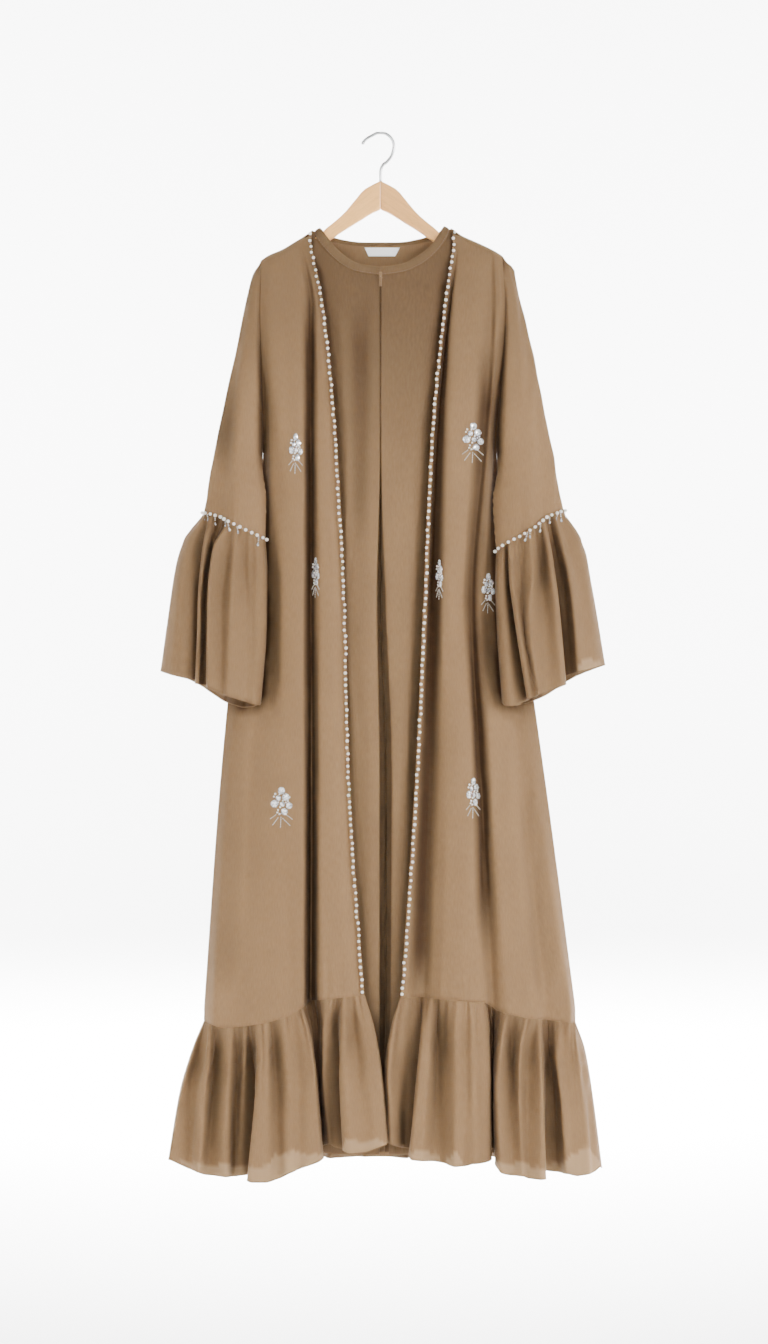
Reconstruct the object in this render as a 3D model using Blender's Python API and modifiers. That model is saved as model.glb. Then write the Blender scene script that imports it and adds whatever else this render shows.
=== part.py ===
"""Abaya cloak, hung on a two-part wooden hanger.

The origin is the inside of the hook's crown, where a rail holds it. +Z is up, the front
faces -Y, and left and right are the viewer's. The tables are in millimetres: x across,
depth along Y (less than zero is towards the viewer) and drop, the distance below the hook.
"""
import math
from collections import namedtuple

import bmesh
import bpy
from mathutils import Vector
from mathutils.bvhtree import BVHTree

MM = 0.001

# Driving sizes, in millimetres
CLOTH = 1.2            # wall of every sheet of cloth
SEAM = 0.5             # space between the walls of two pieces at a seam
NECK_SEAM = 1.5        # the same, measured down from the sloping neckband
BAND_ROLL = 9.0        # how much lower a panel starts where the neckband lies flat
ARMHOLE_SEAM = 0.9     # from the body's edge to the sleeve's
LIFT = 0.4             # space between a panel and what lies on it
WOOD = 11.0            # thickness of the hanger's arms
WIRE = 3.5             # thickness of the hook's wire
UNDERARM = 474.0       # drop of the underarm, where the sleeve becomes a tube
LINING_HEM = 1526.0    # drop of the plain hem of the inner front
SHOULDER_EDGE = 0.75   # depth of the front's edge at the shoulder seam
BAND_SLOPES = 8.8      # depth beyond which the neckband slopes and no longer lies flat
ROLL = 9.0             # how far below the shoulder line the cloth has turned down
RAISED = 2.2           # thickness of the raised bouquets
RUFFLE_DROP = 0.8      # from a panel's lower edge to the top of its ruffle
BETWEEN = 2            # facets from one fold line to the next

# Drops at which the tables below give a fold's place and depth
BODY_DROPS = (170, 260, UNDERARM, 700, 960, 1310)
INNER_DROPS = (200, 260, UNDERARM, 700, 960, LINING_HEM)
SLEEVE_DROPS = (193, 208, 236, 300, 380, UNDERARM, 600)

# Drops of the rows of facets, measured down from the shoulder and then down the body
SHOULDER_ROWS = (0.0, 1.2, 4.5, 10.0, 20.0)
BODY_ROWS = (250, 340, 407, 440, UNDERARM, 560, 700, 850, 1000, 1160)
SLEEVE_ROWS = (196, 200, 208, 220, 236, 260, 300, 340, 390, 440, UNDERARM, 488, 505, 530)
INNER_FIRST_ROW = 8
CUFF_BELOW = 50        # about how far the slanted seam lies below the last level row
INNER_LOWER_ROWS = (1330, 1430, LINING_HEM)
RUFFLE_SHARES = (0.0, 0.15, 0.4, 0.7, 1.0)

# The shoulder seam, from the neck out to the armhole: x, drop
SHOULDER_LEFT = ((-178, 190), (-166, 182), (-148, 174), (-121, 158), (-103, 148.5), (-94, 142.5))
SHOULDER_RIGHT = ((98, 139.5), (107, 145.5), (125, 154.5), (152, 166.5), (170, 175.5), (181, 183))

# Where the back rolls over the hanger, and where it is cut away for the neck: x
SHOULDER_ENDS = (-103, -92, 96, 107)

# The neckband, from the centre front round the left shoulder and the back to the centre
# front again: x and drop of its upper edge, x and drop of its lower edge, depth
Band = namedtuple("Band", "x_in drop_in x_out drop_out depth")
NECKBAND = (
    Band(-0.4, 202, -0.4, 213.5, -14.5),
    Band(-31, 197.5, -34, 208.5, -13.6),
    Band(-50, 188, -56, 199, -12.2),
    Band(-64.5, 175, -73, 185, -10.4),
    Band(-77, 160.5, -87, 170, -8.6),
    Band(-85, 150, -95, 158.5, -7.6),
    Band(-89, 144, -98, 151.5, -4.6),
    Band(-91, 141.5, -98.8, 147.4, 0.0),
    Band(-88.5, 144, -97, 151, 4.6),
    Band(-84, 149, -92, 157, 7.4),
    Band(-70, 155, -75, 163.5, 8.4),
    Band(-25, 162, -27, 169.5, 9.0),
    Band(25, 162, 27, 169.5, 9.0),
    Band(72, 153.5, 77, 162, 8.4),
    Band(88, 147.5, 96, 155, 7.4),
    Band(93.5, 141.5, 101, 148.5, 4.6),
    Band(96, 139, 103.4, 144.6, 0.0),
    Band(94, 141.5, 102, 149.5, -4.6),
    Band(90, 148, 99, 156, -7.6),
    Band(83, 159, 92, 168, -8.6),
    Band(69, 175.5, 77, 185, -10.4),
    Band(50, 189, 56, 200, -12.2),
    Band(30, 198, 33, 209, -13.6),
    Band(0.4, 202, 0.4, 213.5, -14.5),
)

# Each fold line of a panel: its x and its depth at the drops above
Fold = namedtuple("Fold", "name x depth")

FRONT_LEFT = (
    Fold("pearl edge", (-103, -84.5, -64.5, -53, -46, -22.5), (-9, -17, -26, -31, -38, -48)),
    Fold("edging", (-107, -90, -70, -59, -52, -29), (-9, -17.5, -27, -32.5, -39.5, -49.5)),
    Fold("near ridge", (-111, -94, -80, -72, -70, -58), (-9, -19, -30, -37, -45, -56)),
    Fold("ridge shoulder", (-114, -97, -92, -89, -88, -86), (-9, -18, -28, -35, -43, -53)),
    Fold("deep valley", (-118, -104, -104, -103.5, -103, -104), (-9, -10, -12, -14, -18, -23)),
    Fold("crisp edge", (-124, -115.5, -116, -116, -116, -117), (-9, -20, -28, -34, -41, -52)),
    Fold("plane start", (-128, -121, -122, -122, -123, -124), (-9, -20, -28, -33.5, -40.5, -51)),
    Fold("plane middle", (-145, -146, -145, -144, -147, -152), (-9, -19, -26, -30, -38, -48)),
    Fold("plane end", (-162, -166, -162, -163, -172, -192), (-9, -16, -17, -14, -29, -42)),
    Fold("soft valley", (-168, -173, -169, -182, -195, -220), (-8.5, -13.5, -8, -5, -17, -29)),
    Fold("soft ridge", (-173, -177, -173, -198, -222, -246), (-8.5, -12, -4, -3, -15, -27)),
    Fold("side", (-178, -181, -176, -212, -239, -264.5), (-8, -11, -0.9, 2, -0.9, -0.9)),
)

FRONT_RIGHT = (
    Fold("pearl edge", (108, 94.5, 74, 64, 52, 28.5), (-9, -17, -26, -31, -38, -48)),
    Fold("edging", (112, 99.5, 79, 69, 57.5, 35), (-9, -16.5, -25.5, -30, -36.5, -47)),
    Fold("valley by the pearls", (115, 103.5, 85, 77, 74, 63), (-9, -12.5, -16, -19, -23, -30)),
    Fold("ridge shoulder", (120, 108, 97, 94, 100, 96), (-9, -20, -30, -36, -42, -52)),
    Fold("broad ridge", (126, 114, 108, 105, 120, 126), (-9, -21.5, -33, -38, -45, -56)),
    Fold("broad plane", (146, 144, 132, 121, 137, 150), (-9, -20, -30, -34, -40, -50)),
    Fold("crisp valley", (166, 165.5, 153, 136, 149.5, 168), (-9, -12, -16, -18, -24, -34)),
    Fold("side ridge", (170, 173, 160, 146, 166, 190), (-9, -16, -20, -24, -36, -48)),
    Fold("ridge end", (173, 178, 165, 163, 189, 224), (-8.5, -15.5, -14, -14, -30, -44)),
    Fold("soft valley", (176, 182, 168.5, 182, 212, 250), (-8.5, -13.5, -8, -5, -15, -25)),
    Fold("soft ridge", (178, 185, 171, 194, 227, 280), (-8.5, -12.5, -4, -3, -14, -25)),
    Fold("side", (181, 187, 174, 208, 245.5, 292), (-8, -11, -0.9, 2, -0.9, -0.9)),
)

INNER_LEFT = (
    Fold("pleat floor", (-0.4, -0.4, -0.4, 0.5, 7.5, 5.5), (-10, -11.4, -15, -8, -7, -8)),
    Fold("pleat return", (-6.5, -6.5, -7.5, -16, -13, -14), (-12.2, -13.6, -17.2, -13, -12, -13)),
    Fold("centre fold", (-0.9, -0.9, -0.9, -5.5, -1.5, -2), (-14.5, -16, -19.7, -22, -24, -26)),
    Fold("centre ridge", (-9, -9, -11, -18, -16, -16), (-14.4, -16.2, -20.5, -24.5, -27, -29)),
    Fold("soft valley", (-33, -31, -33, -43, -32, -32), (-13.6, -14, -18, -21, -25, -27)),
    Fold("outer ridge", (-55, -56, -48, -51, -44, -45), (-12, -14.5, -19, -21.5, -25, -27)),
    Fold("pearl shadow", (-73, -74, -63, -62, -57, -60), (-10.2, -11.5, -15, -17, -20, -24)),
    Fold("under the valley", (-92, -104, -104, -104, -104, -104), (-7.6, -7.4, -7.5, -8, -8, -8)),
    Fold("under the plane", (-132, -146, -145, -145, -150, -175), (-7, -7.2, -8, -9, -11, -14)),
    Fold("side", (-166, -168, -162, -184, -222, -258), (-7, -7, -5, -1.5, -4.5, -5)),
)

INNER_RIGHT = (
    Fold("pleat floor", (0.4, 0.4, 0.4, 1.3, 8.3, 6.3), (-10, -11.4, -15, -8, -7, -8)),
    Fold("pleat return", (6.5, 6.5, 7.5, 18, 30, 26), (-12.2, -13.6, -17.2, -13, -12, -13)),
    Fold("centre fold", (0.9, 0.9, 0.9, 7.5, 17, 13), (-14.5, -16, -19.7, -22, -24, -26)),
    Fold("centre ridge", (9, 9, 12, 20, 28, 25), (-14.4, -16.2, -20.5, -24.5, -27, -29)),
    Fold("flat middle", (45, 46, 42, 41, 39, 38), (-12.8, -15, -20, -23, -26, -28)),
    Fold("pearl shadow", (74, 84, 69, 59, 51, 56), (-10.2, -11, -15, -17, -20, -24)),
    Fold("under the valley", (96, 104, 88, 80, 78, 76), (-7.6, -7.6, -9, -10, -11, -12)),
    Fold("under the plane", (136, 156, 150, 137, 150, 172), (-7, -7.2, -8, -8.5, -10, -13)),
    Fold("side", (168, 173, 160, 180, 229, 284), (-7, -7.2, -5, -1.5, -4.5, -5)),
)

# Folds of the back: how far out each lies, as a share of the half width, and its depth
BACK = (
    Fold("side", 1.0, (8, 12, 0.9, 3.9, 0.9, 0.9)),
    Fold("side hollow", 0.93, (8.4, 14, 10, 9, 12, 12)),
    Fold("side ridge", 0.82, (8.8, 15, 19, 20, 29, 36)),
    Fold("side valley", 0.64, (8.8, 13, 14, 16, 18, 21)),
    Fold("middle ridge", 0.46, (8.8, 15, 21, 28, 34, 41)),
    Fold("middle valley", 0.23, (8.8, 13, 16, 19, 22, 25)),
)
# Where the back's edge turns from the shoulder to the neck, counted in its fold lines
NECK_CORNER = 3.7
BACK_CENTRE = Fold("centre ridge", 0.0, (9, 14, 20, 27, 33, 40))

# The sleeve's long folds, round from the front seam to the back seam: x and depth at the
# sleeve's drops. The first and last come from the armhole above the underarm.
SLEEVE_LEFT = (
    Fold("front strip",
         (-179, -182, -187, -188, -187, -187, -183),
         (-1.4, -7, -12.5, -17, -20, -22, -37)),
    Fold("crisp ridge",
         (-179.6, -186, -194, -199, -208, -213, -215),
         (-1.5, -6.5, -10, -15, -21, -28, -43)),
    Fold("dark side",
         (-180.4, -188, -197, -206, -219, -229, -239),
         (-1.2, -3.5, -6, -8, -12, -16, -28)),
    Fold("outer edge",
         (-181.2, -190, -198, -211, -228.5, -248, -269),
         (0, -0.5, -1, -1.5, -2, -3, -9)),
    Fold("back outer",
         (-180.4, -187, -194, -204, -218, -233, -254),
         (1.2, 5, 9, 12, 13, 13, 5)),
    Fold("back middle",
         (-179.4, -184, -189, -194, -200, -210, -220),
         (1.4, 7, 12, 15, 15, 11, -8)),
)
SLEEVE_RIGHT = (
    Fold("front strip",
         (182, 185, 191, 192, 189, 186, 184),
         (-1.4, -7, -12.5, -17, -20, -22, -37)),
    Fold("crisp ridge",
         (182.6, 190, 199, 205, 209, 213, 219),
         (-1.5, -6.5, -10, -15, -21, -28, -43)),
    Fold("dark side",
         (183.6, 194, 203, 214, 227, 239, 250),
         (-1.2, -3.5, -6, -8, -12, -16, -28)),
    Fold("outer edge",
         (184.6, 199, 206, 222, 238.5, 257, 280),
         (0, -0.5, -1, -1.5, -2, -3, -9)),
    Fold("back outer",
         (183.6, 194, 202, 213, 226, 241, 263),
         (1.2, 5, 9, 12, 13, 13, 5)),
    Fold("back middle",
         (182.6, 188, 194, 199, 205, 214, 226),
         (1.4, 7, 12, 15, 15, 11, -8)),
)
# The sleeve's inner edge below the underarm: drop, x, depth
Edge = namedtuple("Edge", "drop x depth")
INNER_EDGE_LEFT = (
    Edge(UNDERARM, -176.9, 0.0),
    Edge(488, -180, -6),
    Edge(505, -176.5, -12),
    Edge(549, -171, -18),
    Edge(610, -172, -25),
)
INNER_EDGE_RIGHT = (
    Edge(UNDERARM, 174.9, 0.0),
    Edge(488, 178, -6),
    Edge(505, 175, -12),
    Edge(549, 168, -18),
    Edge(630, 173, -26),
)
# The slanted seam between sleeve and ruffle: x, drop
CUFF_LEFT = ((-269, 568), (-248, 571), (-230, 580), (-203, 595), (-172, 610))
CUFF_RIGHT = ((173, 628), (190, 614), (211, 604), (230, 588), (257, 571), (280, 564))

# Flutes of a sleeve ruffle: place round the sleeve counted in its fold lines, x and depth
# half way down, x, depth and drop at the hem
Flute = namedtuple("Flute", "at x_mid depth_mid x_hem depth_hem drop_hem")
CUFF_FLUTES_LEFT = (
    Flute(0.0, -168, -33, -180, -37, 858),
    Flute(0.5, -181, -52, -192, -62, 857),
    Flute(1.0, -195, -46, -203, -54, 854),
    Flute(1.4, -211, -58, -215, -70, 851.5),
    Flute(1.8, -227, -60, -231.5, -74, 850),
    Flute(2.1, -222, -36, -224, -42, 845),
    Flute(2.4, -240, -34, -239, -39, 842),
    Flute(2.8, -253, -54, -258, -64, 832),
    Flute(3.1, -263, -36, -267, -43, 828),
    Flute(3.4, -280, -50, -286, -60, 818),
    Flute(3.7, -298, -32, -315, -38, 808),
    Flute(4.0, -311, -12, -331, -12, 804),
    Flute(4.4, -297, 9, -311, 13, 808),
    Flute(4.8, -280, -5, -287, -3, 815),
    Flute(5.2, -264, 9, -269, 13, 822),
    Flute(5.6, -246, -9, -250, -9, 832),
    Flute(6.0, -229, -10, -233, -10, 842),
    Flute(6.4, -212, -24, -216, -27, 848),
    Flute(6.7, -195, -14, -204, -14, 852),
    Flute(7.0, -180, -26, -190, -29, 856),
)
CUFF_FLUTES_RIGHT = (
    Flute(0.0, 178, -33, 185, -37, 859),
    Flute(0.5, 188, -47, 198, -55, 857),
    Flute(0.9, 207, -35, 226, -40, 853),
    Flute(1.2, 199.5, -57, 219, -69, 851),
    Flute(1.6, 220, -62, 232, -76, 845),
    Flute(2.0, 237, -43, 246, -51, 840),
    Flute(2.4, 256, -58, 264, -70, 832),
    Flute(2.7, 267, -38, 273, -45, 828),
    Flute(3.0, 276, -52, 282, -62, 817),
    Flute(3.4, 290, -35, 298, -41, 811),
    Flute(3.7, 304, -38, 318, -46, 803),
    Flute(4.0, 318, -12, 336, -12, 797),
    Flute(4.4, 304, 9, 317, 13, 802),
    Flute(4.8, 288, -5, 296, -3, 811),
    Flute(5.2, 272, 9, 278, 13, 820),
    Flute(5.6, 255, -9, 260, -9, 832),
    Flute(6.0, 238, -10, 243, -10, 842),
    Flute(6.4, 220, -24, 225, -27, 850),
    Flute(6.7, 203, -14, 211, -14, 854),
    Flute(7.0, 190, -26, 196, -29, 857),
)

# Flutes of a front hem ruffle: x at the seam, x and depth half way down, x, depth and
# drop at the hem
HEM_FLUTES_LEFT = (
    Flute(-264.5, -301, -1.0, -318, -1.0, 1537),
    Flute(-262, -296, -32, -309, -42, 1541),
    Flute(-257, -284, -20, -289, -26, 1549),
    Flute(-250, -271, -48, -280, -60, 1554),
    Flute(-240, -251, -28, -258, -36, 1560),
    Flute(-228, -235, -52, -233, -66, 1565),
    Flute(-214, -212, -29, -213, -35, 1562),
    Flute(-194, -186, -27, -191, -32, 1561),
    Flute(-170, -184, -64, -200, -82, 1570.5),
    Flute(-166, -172, -68, -184, -86, 1573.5),
    Flute(-158, -157, -50, -160, -62, 1570),
    Flute(-150, -147, -60, -149, -76, 1566),
    Flute(-141, -138, -46, -135, -58, 1560),
    Flute(-132, -122, -60, -118, -74, 1552),
    Flute(-120, -97, -56, -89, -68, 1540),
    Flute(-113, -102, -32, -101, -38, 1531),
    Flute(-104, -90, -24, -96, -26, 1523),
    Flute(-94, -70, -48, -84, -56, 1520),
    Flute(-84, -60, -58, -63, -70, 1522),
    Flute(-72, -49, -64, -46, -80, 1530),
    Flute(-58, -36, -50, -32, -62, 1530),
    Flute(-46, -22, -62, -18, -76, 1528),
    Flute(-34, -8, -50, -2, -60, 1521),
    Flute(-23, 1, -55, 10.5, -67, 1516),
)
HEM_FLUTES_RIGHT = (
    Flute(29, 5.5, -50, 13.5, -58, 1514.5),
    Flute(38, 17, -57, 24, -66, 1517),
    Flute(50, 36, -45, 38, -51, 1519),
    Flute(62, 62, -30, 52, -35, 1521),
    Flute(71, 54, -60, 43, -76, 1534),
    Flute(79, 73, -66, 66, -84, 1538),
    Flute(88, 86, -49, 84, -60, 1541),
    Flute(104, 106, -64, 106, -82, 1548),
    Flute(124, 137, -50, 138, -62, 1549),
    Flute(140, 151, -62, 154, -78, 1546),
    Flute(154, 167, -56, 168, -68, 1542),
    Flute(163, 160, -30, 161, -35, 1545),
    Flute(170, 180, -28, 182, -32, 1551),
    Flute(178, 170.5, -53, 173, -66, 1548),
    Flute(189, 190, -52, 190, -62, 1558),
    Flute(202, 206, -66, 206, -84, 1561.5),
    Flute(214, 220, -50, 221, -62, 1565),
    Flute(228, 237, -64, 238, -82, 1569),
    Flute(240, 246, -58, 248, -74, 1568),
    Flute(247, 241, -30, 242, -34, 1561),
    Flute(256, 257, -28, 270, -32, 1561),
    Flute(266, 268, -46, 284, -58, 1563),
    Flute(282, 298, -30, 312, -34, 1562),
    Flute(290, 310, -30, 324, -38, 1557),
    Flute(292, 316, -1.0, 332, -1.0, 1550),
)

# The seam above the hem ruffles, at the front: x, drop
HEM_SEAM = (
    (-264.5, 1330), (-230, 1338), (-202, 1334), (-170, 1328), (-138, 1318), (-118, 1306),
    (-100, 1296), (-76, 1292), (-22, 1287), (29, 1290), (113, 1294.5), (150, 1297),
    (176, 1311), (206, 1318.5), (250, 1326), (292, 1331.5),
)
BACK_SEAM_DROP = 1334.0
BACK_HEM_DROP = 1541.0
BACK_FLUTES = 13
BACK_UNEVEN = 0.35       # how far a flute wanders, as a share of half its width
BACK_UNEVEN_TURN = 2.4   # how much that wandering turns from one flute to the next
BACK_HOLLOW = 37.0       # depth of the valleys between the flutes
BACK_RIDGE = 28.0        # how much deeper the ridges lie
BACK_SWELL = 7.0         # how much the depths differ
BACK_SWELL_TURN = 1.7    # how much that turns from one flute to the next
BACK_MIDDLE = 0.8        # depth half way down, as a share of the depth at the hem
BACK_RISE = 9.0          # how fast the flutes deepen in from the side seams
BACK_SIDE_RAISED = 2.0   # how much the hem rises to the side seams
BACK_RAISE_ENDS = 6.0    # how fast that rise dies out
BACK_RIDGE_LOWER = 2.5   # how much lower a ridge hangs
BACK_END_LEFT = Flute(-264.5, -301, 1.0, -318, 1.0, 1538)
BACK_END_RIGHT = Flute(292, 316, 1.0, 332, 1.0, 1550.5)

# The pearls' edging: where it starts, its middle and its end, as shares of two facets
BEAD_EDGE_COLUMNS = (0.06, 0.5, 0.94)
# Upper and lower edge of the sleeve's edging, measured down from the slanted seam
SLEEVE_BEAD_EDGES = (-1.5, 2.5)
SHARPEST_MITRE = -0.5    # cosine of the sharpest turn that the edging follows fully

# Raised bouquets: the panel each lies on, x and drop of its centre, seen width, height, and
# how far it stands off to bridge the turn of a fold
Bouquet = namedtuple("Bouquet", "name panel x drop width height over_folds")
BOUQUETS = (
    Bouquet("motif_chest_left", "front_left", -127, 482, 20, 64, 0.1),
    Bouquet("motif_chest_right", "front_right", 137, 466, 31, 64, 0.8),
    Bouquet("motif_waist_left", "front_left", -96.5, 667, 11, 64, 0.1),
    Bouquet("motif_waist_right", "front_right", 88, 670, 10, 64, 0.1),
    Bouquet("motif_hip_right", "front_right", 160, 690, 20, 60, 0.8),
    Bouquet("motif_skirt_left", "front_left", -148, 1009, 32, 64, 0.8),
    Bouquet("motif_skirt_right", "front_right", 137, 995, 20, 66, 0.8),
)
# A bouquet's half width down its height, as shares: flowers, waist, splayed stems
BOUQUET_DOWN = (0.0, 0.12, 0.35, 0.58, 0.72, 1.0)
BOUQUET_HALF = (0.45, 0.8, 1.0, 0.62, 0.42, 0.85)
BOUQUET_ROWS = (0.0, 0.15, 0.35, 0.52, 0.68, 0.85, 1.0)
BOUQUET_COLUMNS = (-1, -0.5, 0, 0.5, 1)
BEFORE_THE_CLOTH = -200  # depth from which a bouquet's points are sought on the cloth

# Materials: colour, roughness, metallic
FINISHES = {
    "cloth": ((0.365, 0.235, 0.142), 0.62, 0.0),
    "edging": ((0.40, 0.27, 0.17), 0.55, 0.0),
    "beadwork": ((0.78, 0.77, 0.76), 0.25, 0.3),
    "label": ((0.85, 0.84, 0.80), 0.7, 0.0),
    "zip": ((0.62, 0.50, 0.38), 0.35, 0.6),
    "wood": ((0.72, 0.50, 0.30), 0.45, 0.0),
    "chrome": ((0.80, 0.80, 0.82), 0.12, 1.0),
}


def clear_scene():
    """Start from an empty scene."""
    for old in list(bpy.data.objects):
        bpy.data.objects.remove(old, do_unlink=True)


def new_collection(name):
    made = bpy.data.collections.new(name)
    bpy.context.scene.collection.children.link(made)
    return made


def material(part_name, finish):
    """Each object has a material of its own, from a named finish."""
    colour, roughness, metallic = FINISHES[finish]
    made = bpy.data.materials.new(part_name + "_" + finish)
    made.use_nodes = True
    shader = made.node_tree.nodes["Principled BSDF"]
    shader.inputs["Base Color"].default_value = (*colour, 1.0)
    shader.inputs["Roughness"].default_value = roughness
    shader.inputs["Metallic"].default_value = metallic
    return made


def place(x, depth, drop):
    """A point from the tables, in metres."""
    return Vector((x * MM, depth * MM, -drop * MM))


def smooth(knots, values, at):
    """A curve through the values with no overshoot, flat beyond its ends."""
    if at <= knots[0]:
        return values[0]
    if at >= knots[-1]:
        return values[-1]
    index = max(i for i in range(len(knots) - 1) if knots[i] <= at)
    steps = [knots[i + 1] - knots[i] for i in range(len(knots) - 1)]
    slopes = [(values[i + 1] - values[i]) / steps[i] for i in range(len(steps))]

    def tangent(i):
        if i == 0:
            return slopes[0]
        if i == len(slopes):
            return slopes[-1]
        before, after = slopes[i - 1], slopes[i]
        if before * after <= 0:
            return 0.0
        return 2 * before * after / (before + after)

    step = steps[index]
    share = (at - knots[index]) / step
    rise = values[index + 1] - values[index]
    start = tangent(index) * step
    end = tangent(index + 1) * step
    square = share * share
    cube = square * share
    return (values[index] + start * share + (3 * rise - 2 * start - end) * square
            + (start + end - 2 * rise) * cube)


def line_at(pairs, x):
    """Drop at x along a line given as pairs of x and drop."""
    return smooth([p[0] for p in pairs], [p[1] for p in pairs], x)


def roll(distance):
    """How far the cloth has turned over the hanger, from 0 on the shoulder line to 1."""
    left = 1 - min(distance / ROLL, 1)
    return math.sqrt(1 - left * left)


def across(folds, drops, along, drop):
    """x and depth of a panel at a place counted in its fold lines."""
    lines = range(len(folds))
    xs = [smooth(drops, fold.x, drop) for fold in folds]
    depths = [smooth(drops, fold.depth, drop) for fold in folds]
    return smooth(lines, xs, along), smooth(lines, depths, along)


def columns(folds):
    """Places of the columns of facets: on each fold line and between them."""
    return [i / BETWEEN for i in range((len(folds) - 1) * BETWEEN + 1)]


def outer_front_column(folds, along, shoulder, seam):
    """One column of an outer front, from the shoulder line to the hem seam."""
    top = line_at(shoulder, across(folds, BODY_DROPS, along, BODY_DROPS[0])[0])
    bottom = line_at(seam, across(folds, BODY_DROPS, along, BODY_DROPS[-1])[0])
    drops = [top + row for row in SHOULDER_ROWS] + list(BODY_ROWS) + [bottom]
    column = []
    for drop in drops:
        x, depth = across(folds, BODY_DROPS, along, drop)
        turned = roll(drop - top)
        column.append((x, -SHOULDER_EDGE + (depth + SHOULDER_EDGE) * turned, drop))
    return column


def sheet(name, rows, closed=False, merge_below=None, thickness=CLOTH, finish="cloth"):
    """A wall of cloth on a grid of points, given as rows of (x, depth, drop).

    A closed sheet is a tube. With merge_below its two edges are one from that row down.
    """
    mesh = bpy.data.meshes.new(name)
    bm = bmesh.new()
    grid = []
    for number, row in enumerate(rows):
        made = [bm.verts.new(place(*point)) for point in row]
        if merge_below is not None and number >= merge_below:
            bm.verts.remove(made[-1])
            made[-1] = made[0]
        if closed:
            made.append(made[0])
        grid.append(made)
    for upper, lower in zip(grid, grid[1:]):
        for i in range(len(upper) - 1):
            bm.faces.new((upper[i], lower[i], lower[i + 1], upper[i + 1]))
    bm.to_mesh(mesh)
    bm.free()
    made = bpy.data.objects.new(name, mesh)
    PARTS.objects.link(made)
    wall = made.modifiers.new("wall", "SOLIDIFY")
    wall.thickness = thickness * MM
    wall.offset = 0.0
    mesh.materials.append(material(name, finish))
    return made


def rows_of(grid_columns, towards_viewer=True):
    """Turn columns into rows, so that the faces point the way the cloth does."""
    rows = list(zip(*grid_columns))
    return rows if towards_viewer else [row[::-1] for row in rows]


def evaluated_tree(made):
    """The finished facets of an object, to lay another piece on."""
    bpy.context.view_layer.update()
    finished = made.evaluated_get(bpy.context.evaluated_depsgraph_get())
    bm = bmesh.new()
    bm.from_mesh(finished.to_mesh())
    bm.transform(made.matrix_world)
    tree = BVHTree.FromBMesh(bm)
    bm.free()
    finished.to_mesh_clear()
    return tree


def build_outer_front(name, folds, shoulder, seam):
    grid = [outer_front_column(folds, along, shoulder, seam) for along in columns(folds)]
    rows = rows_of(grid)
    return sheet(name, rows), rows


def below_band(band):
    """Where a panel starts below the neckband, lower where the band lies over the hanger."""
    lying = max(0.0, 1 - abs(band.depth) / BAND_SLOPES)
    return band.x_out, band.drop_out + NECK_SEAM + BAND_ROLL * lying


def inner_top(x):
    """Drop of the inner front's upper edge: under the neckband, then under the shoulder."""
    if x < 0:
        bands, tucked = NECKBAND[:6], ((-132, 180), (-166, 200))
    else:
        bands, tucked = NECKBAND[-6:], ((136, 176), (168, 194))
    edge = [below_band(b) for b in bands]
    return line_at(sorted(edge + list(tucked)), x)


def build_inner_front(name, folds):
    grid = []
    for along in columns(folds):
        top = inner_top(across(folds, INNER_DROPS, along, INNER_DROPS[0])[0])
        drops = [top, top + INNER_FIRST_ROW] + list(BODY_ROWS) + list(INNER_LOWER_ROWS)
        grid.append([(*across(folds, INNER_DROPS, along, drop), drop) for drop in drops])
    return sheet(name, rows_of(grid))


def back_folds():
    """The back's fold lines from left to right, from the shares and the side seams."""
    left_side = FRONT_LEFT[-1].x
    right_side = FRONT_RIGHT[-1].x
    left = [Fold(f.name, [f.x * s for s in left_side], f.depth) for f in BACK]
    right = [Fold(f.name, [f.x * s for s in right_side], f.depth) for f in reversed(BACK)]
    middle = Fold(BACK_CENTRE.name, [0.0] * len(BODY_DROPS), BACK_CENTRE.depth)
    return left + [middle] + right


def back_top(x):
    """Drop of the back's upper edge, and how much of it rolls over the hanger."""
    neck = [below_band(b) for b in NECKBAND[9:15]]
    drop = line_at(list(SHOULDER_LEFT[:5]) + neck + list(SHOULDER_RIGHT[1:]), x)
    on_shoulder = smooth(SHOULDER_ENDS, (1.0, 0.0, 0.0, 1.0), x)
    return drop, on_shoulder


def build_back():
    folds = back_folds()
    grid = []
    for along in sorted(columns(folds) + [NECK_CORNER, len(folds) - 1 - NECK_CORNER]):
        top, on_shoulder = back_top(across(folds, BODY_DROPS, along, BODY_DROPS[0])[0])
        drops = [top + row for row in SHOULDER_ROWS] + list(BODY_ROWS) + [BACK_SEAM_DROP]
        column = []
        for drop in drops:
            x, depth = across(folds, BODY_DROPS, along, drop)
            turned = 1 - on_shoulder * (1 - roll(drop - top))
            column.append((x, SHOULDER_EDGE + (depth - SHOULDER_EDGE) * turned, drop))
        grid.append(column)
    rows = rows_of(grid, towards_viewer=False)
    sheet("back", rows)
    return rows


def build_neckband():
    rows = []
    for share in (0.0, 0.5, 1.0):
        row = []
        for band in reversed(NECKBAND):
            x = band.x_in + (band.x_out - band.x_in) * share
            drop = band.drop_in + (band.drop_out - band.drop_in) * share
            row.append((x, band.depth, drop))
        rows.append(row)
    return sheet("neckband", rows)


def armhole(folds, drop, outward, back=False):
    """The sleeve's edge beside the body above the underarm."""
    side = folds[-1]
    x = smooth(BODY_DROPS, side.x, drop) + outward * ARMHOLE_SEAM
    depths = BACK[0].depth if back else side.depth
    return x, smooth(BODY_DROPS, depths, drop)


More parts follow.
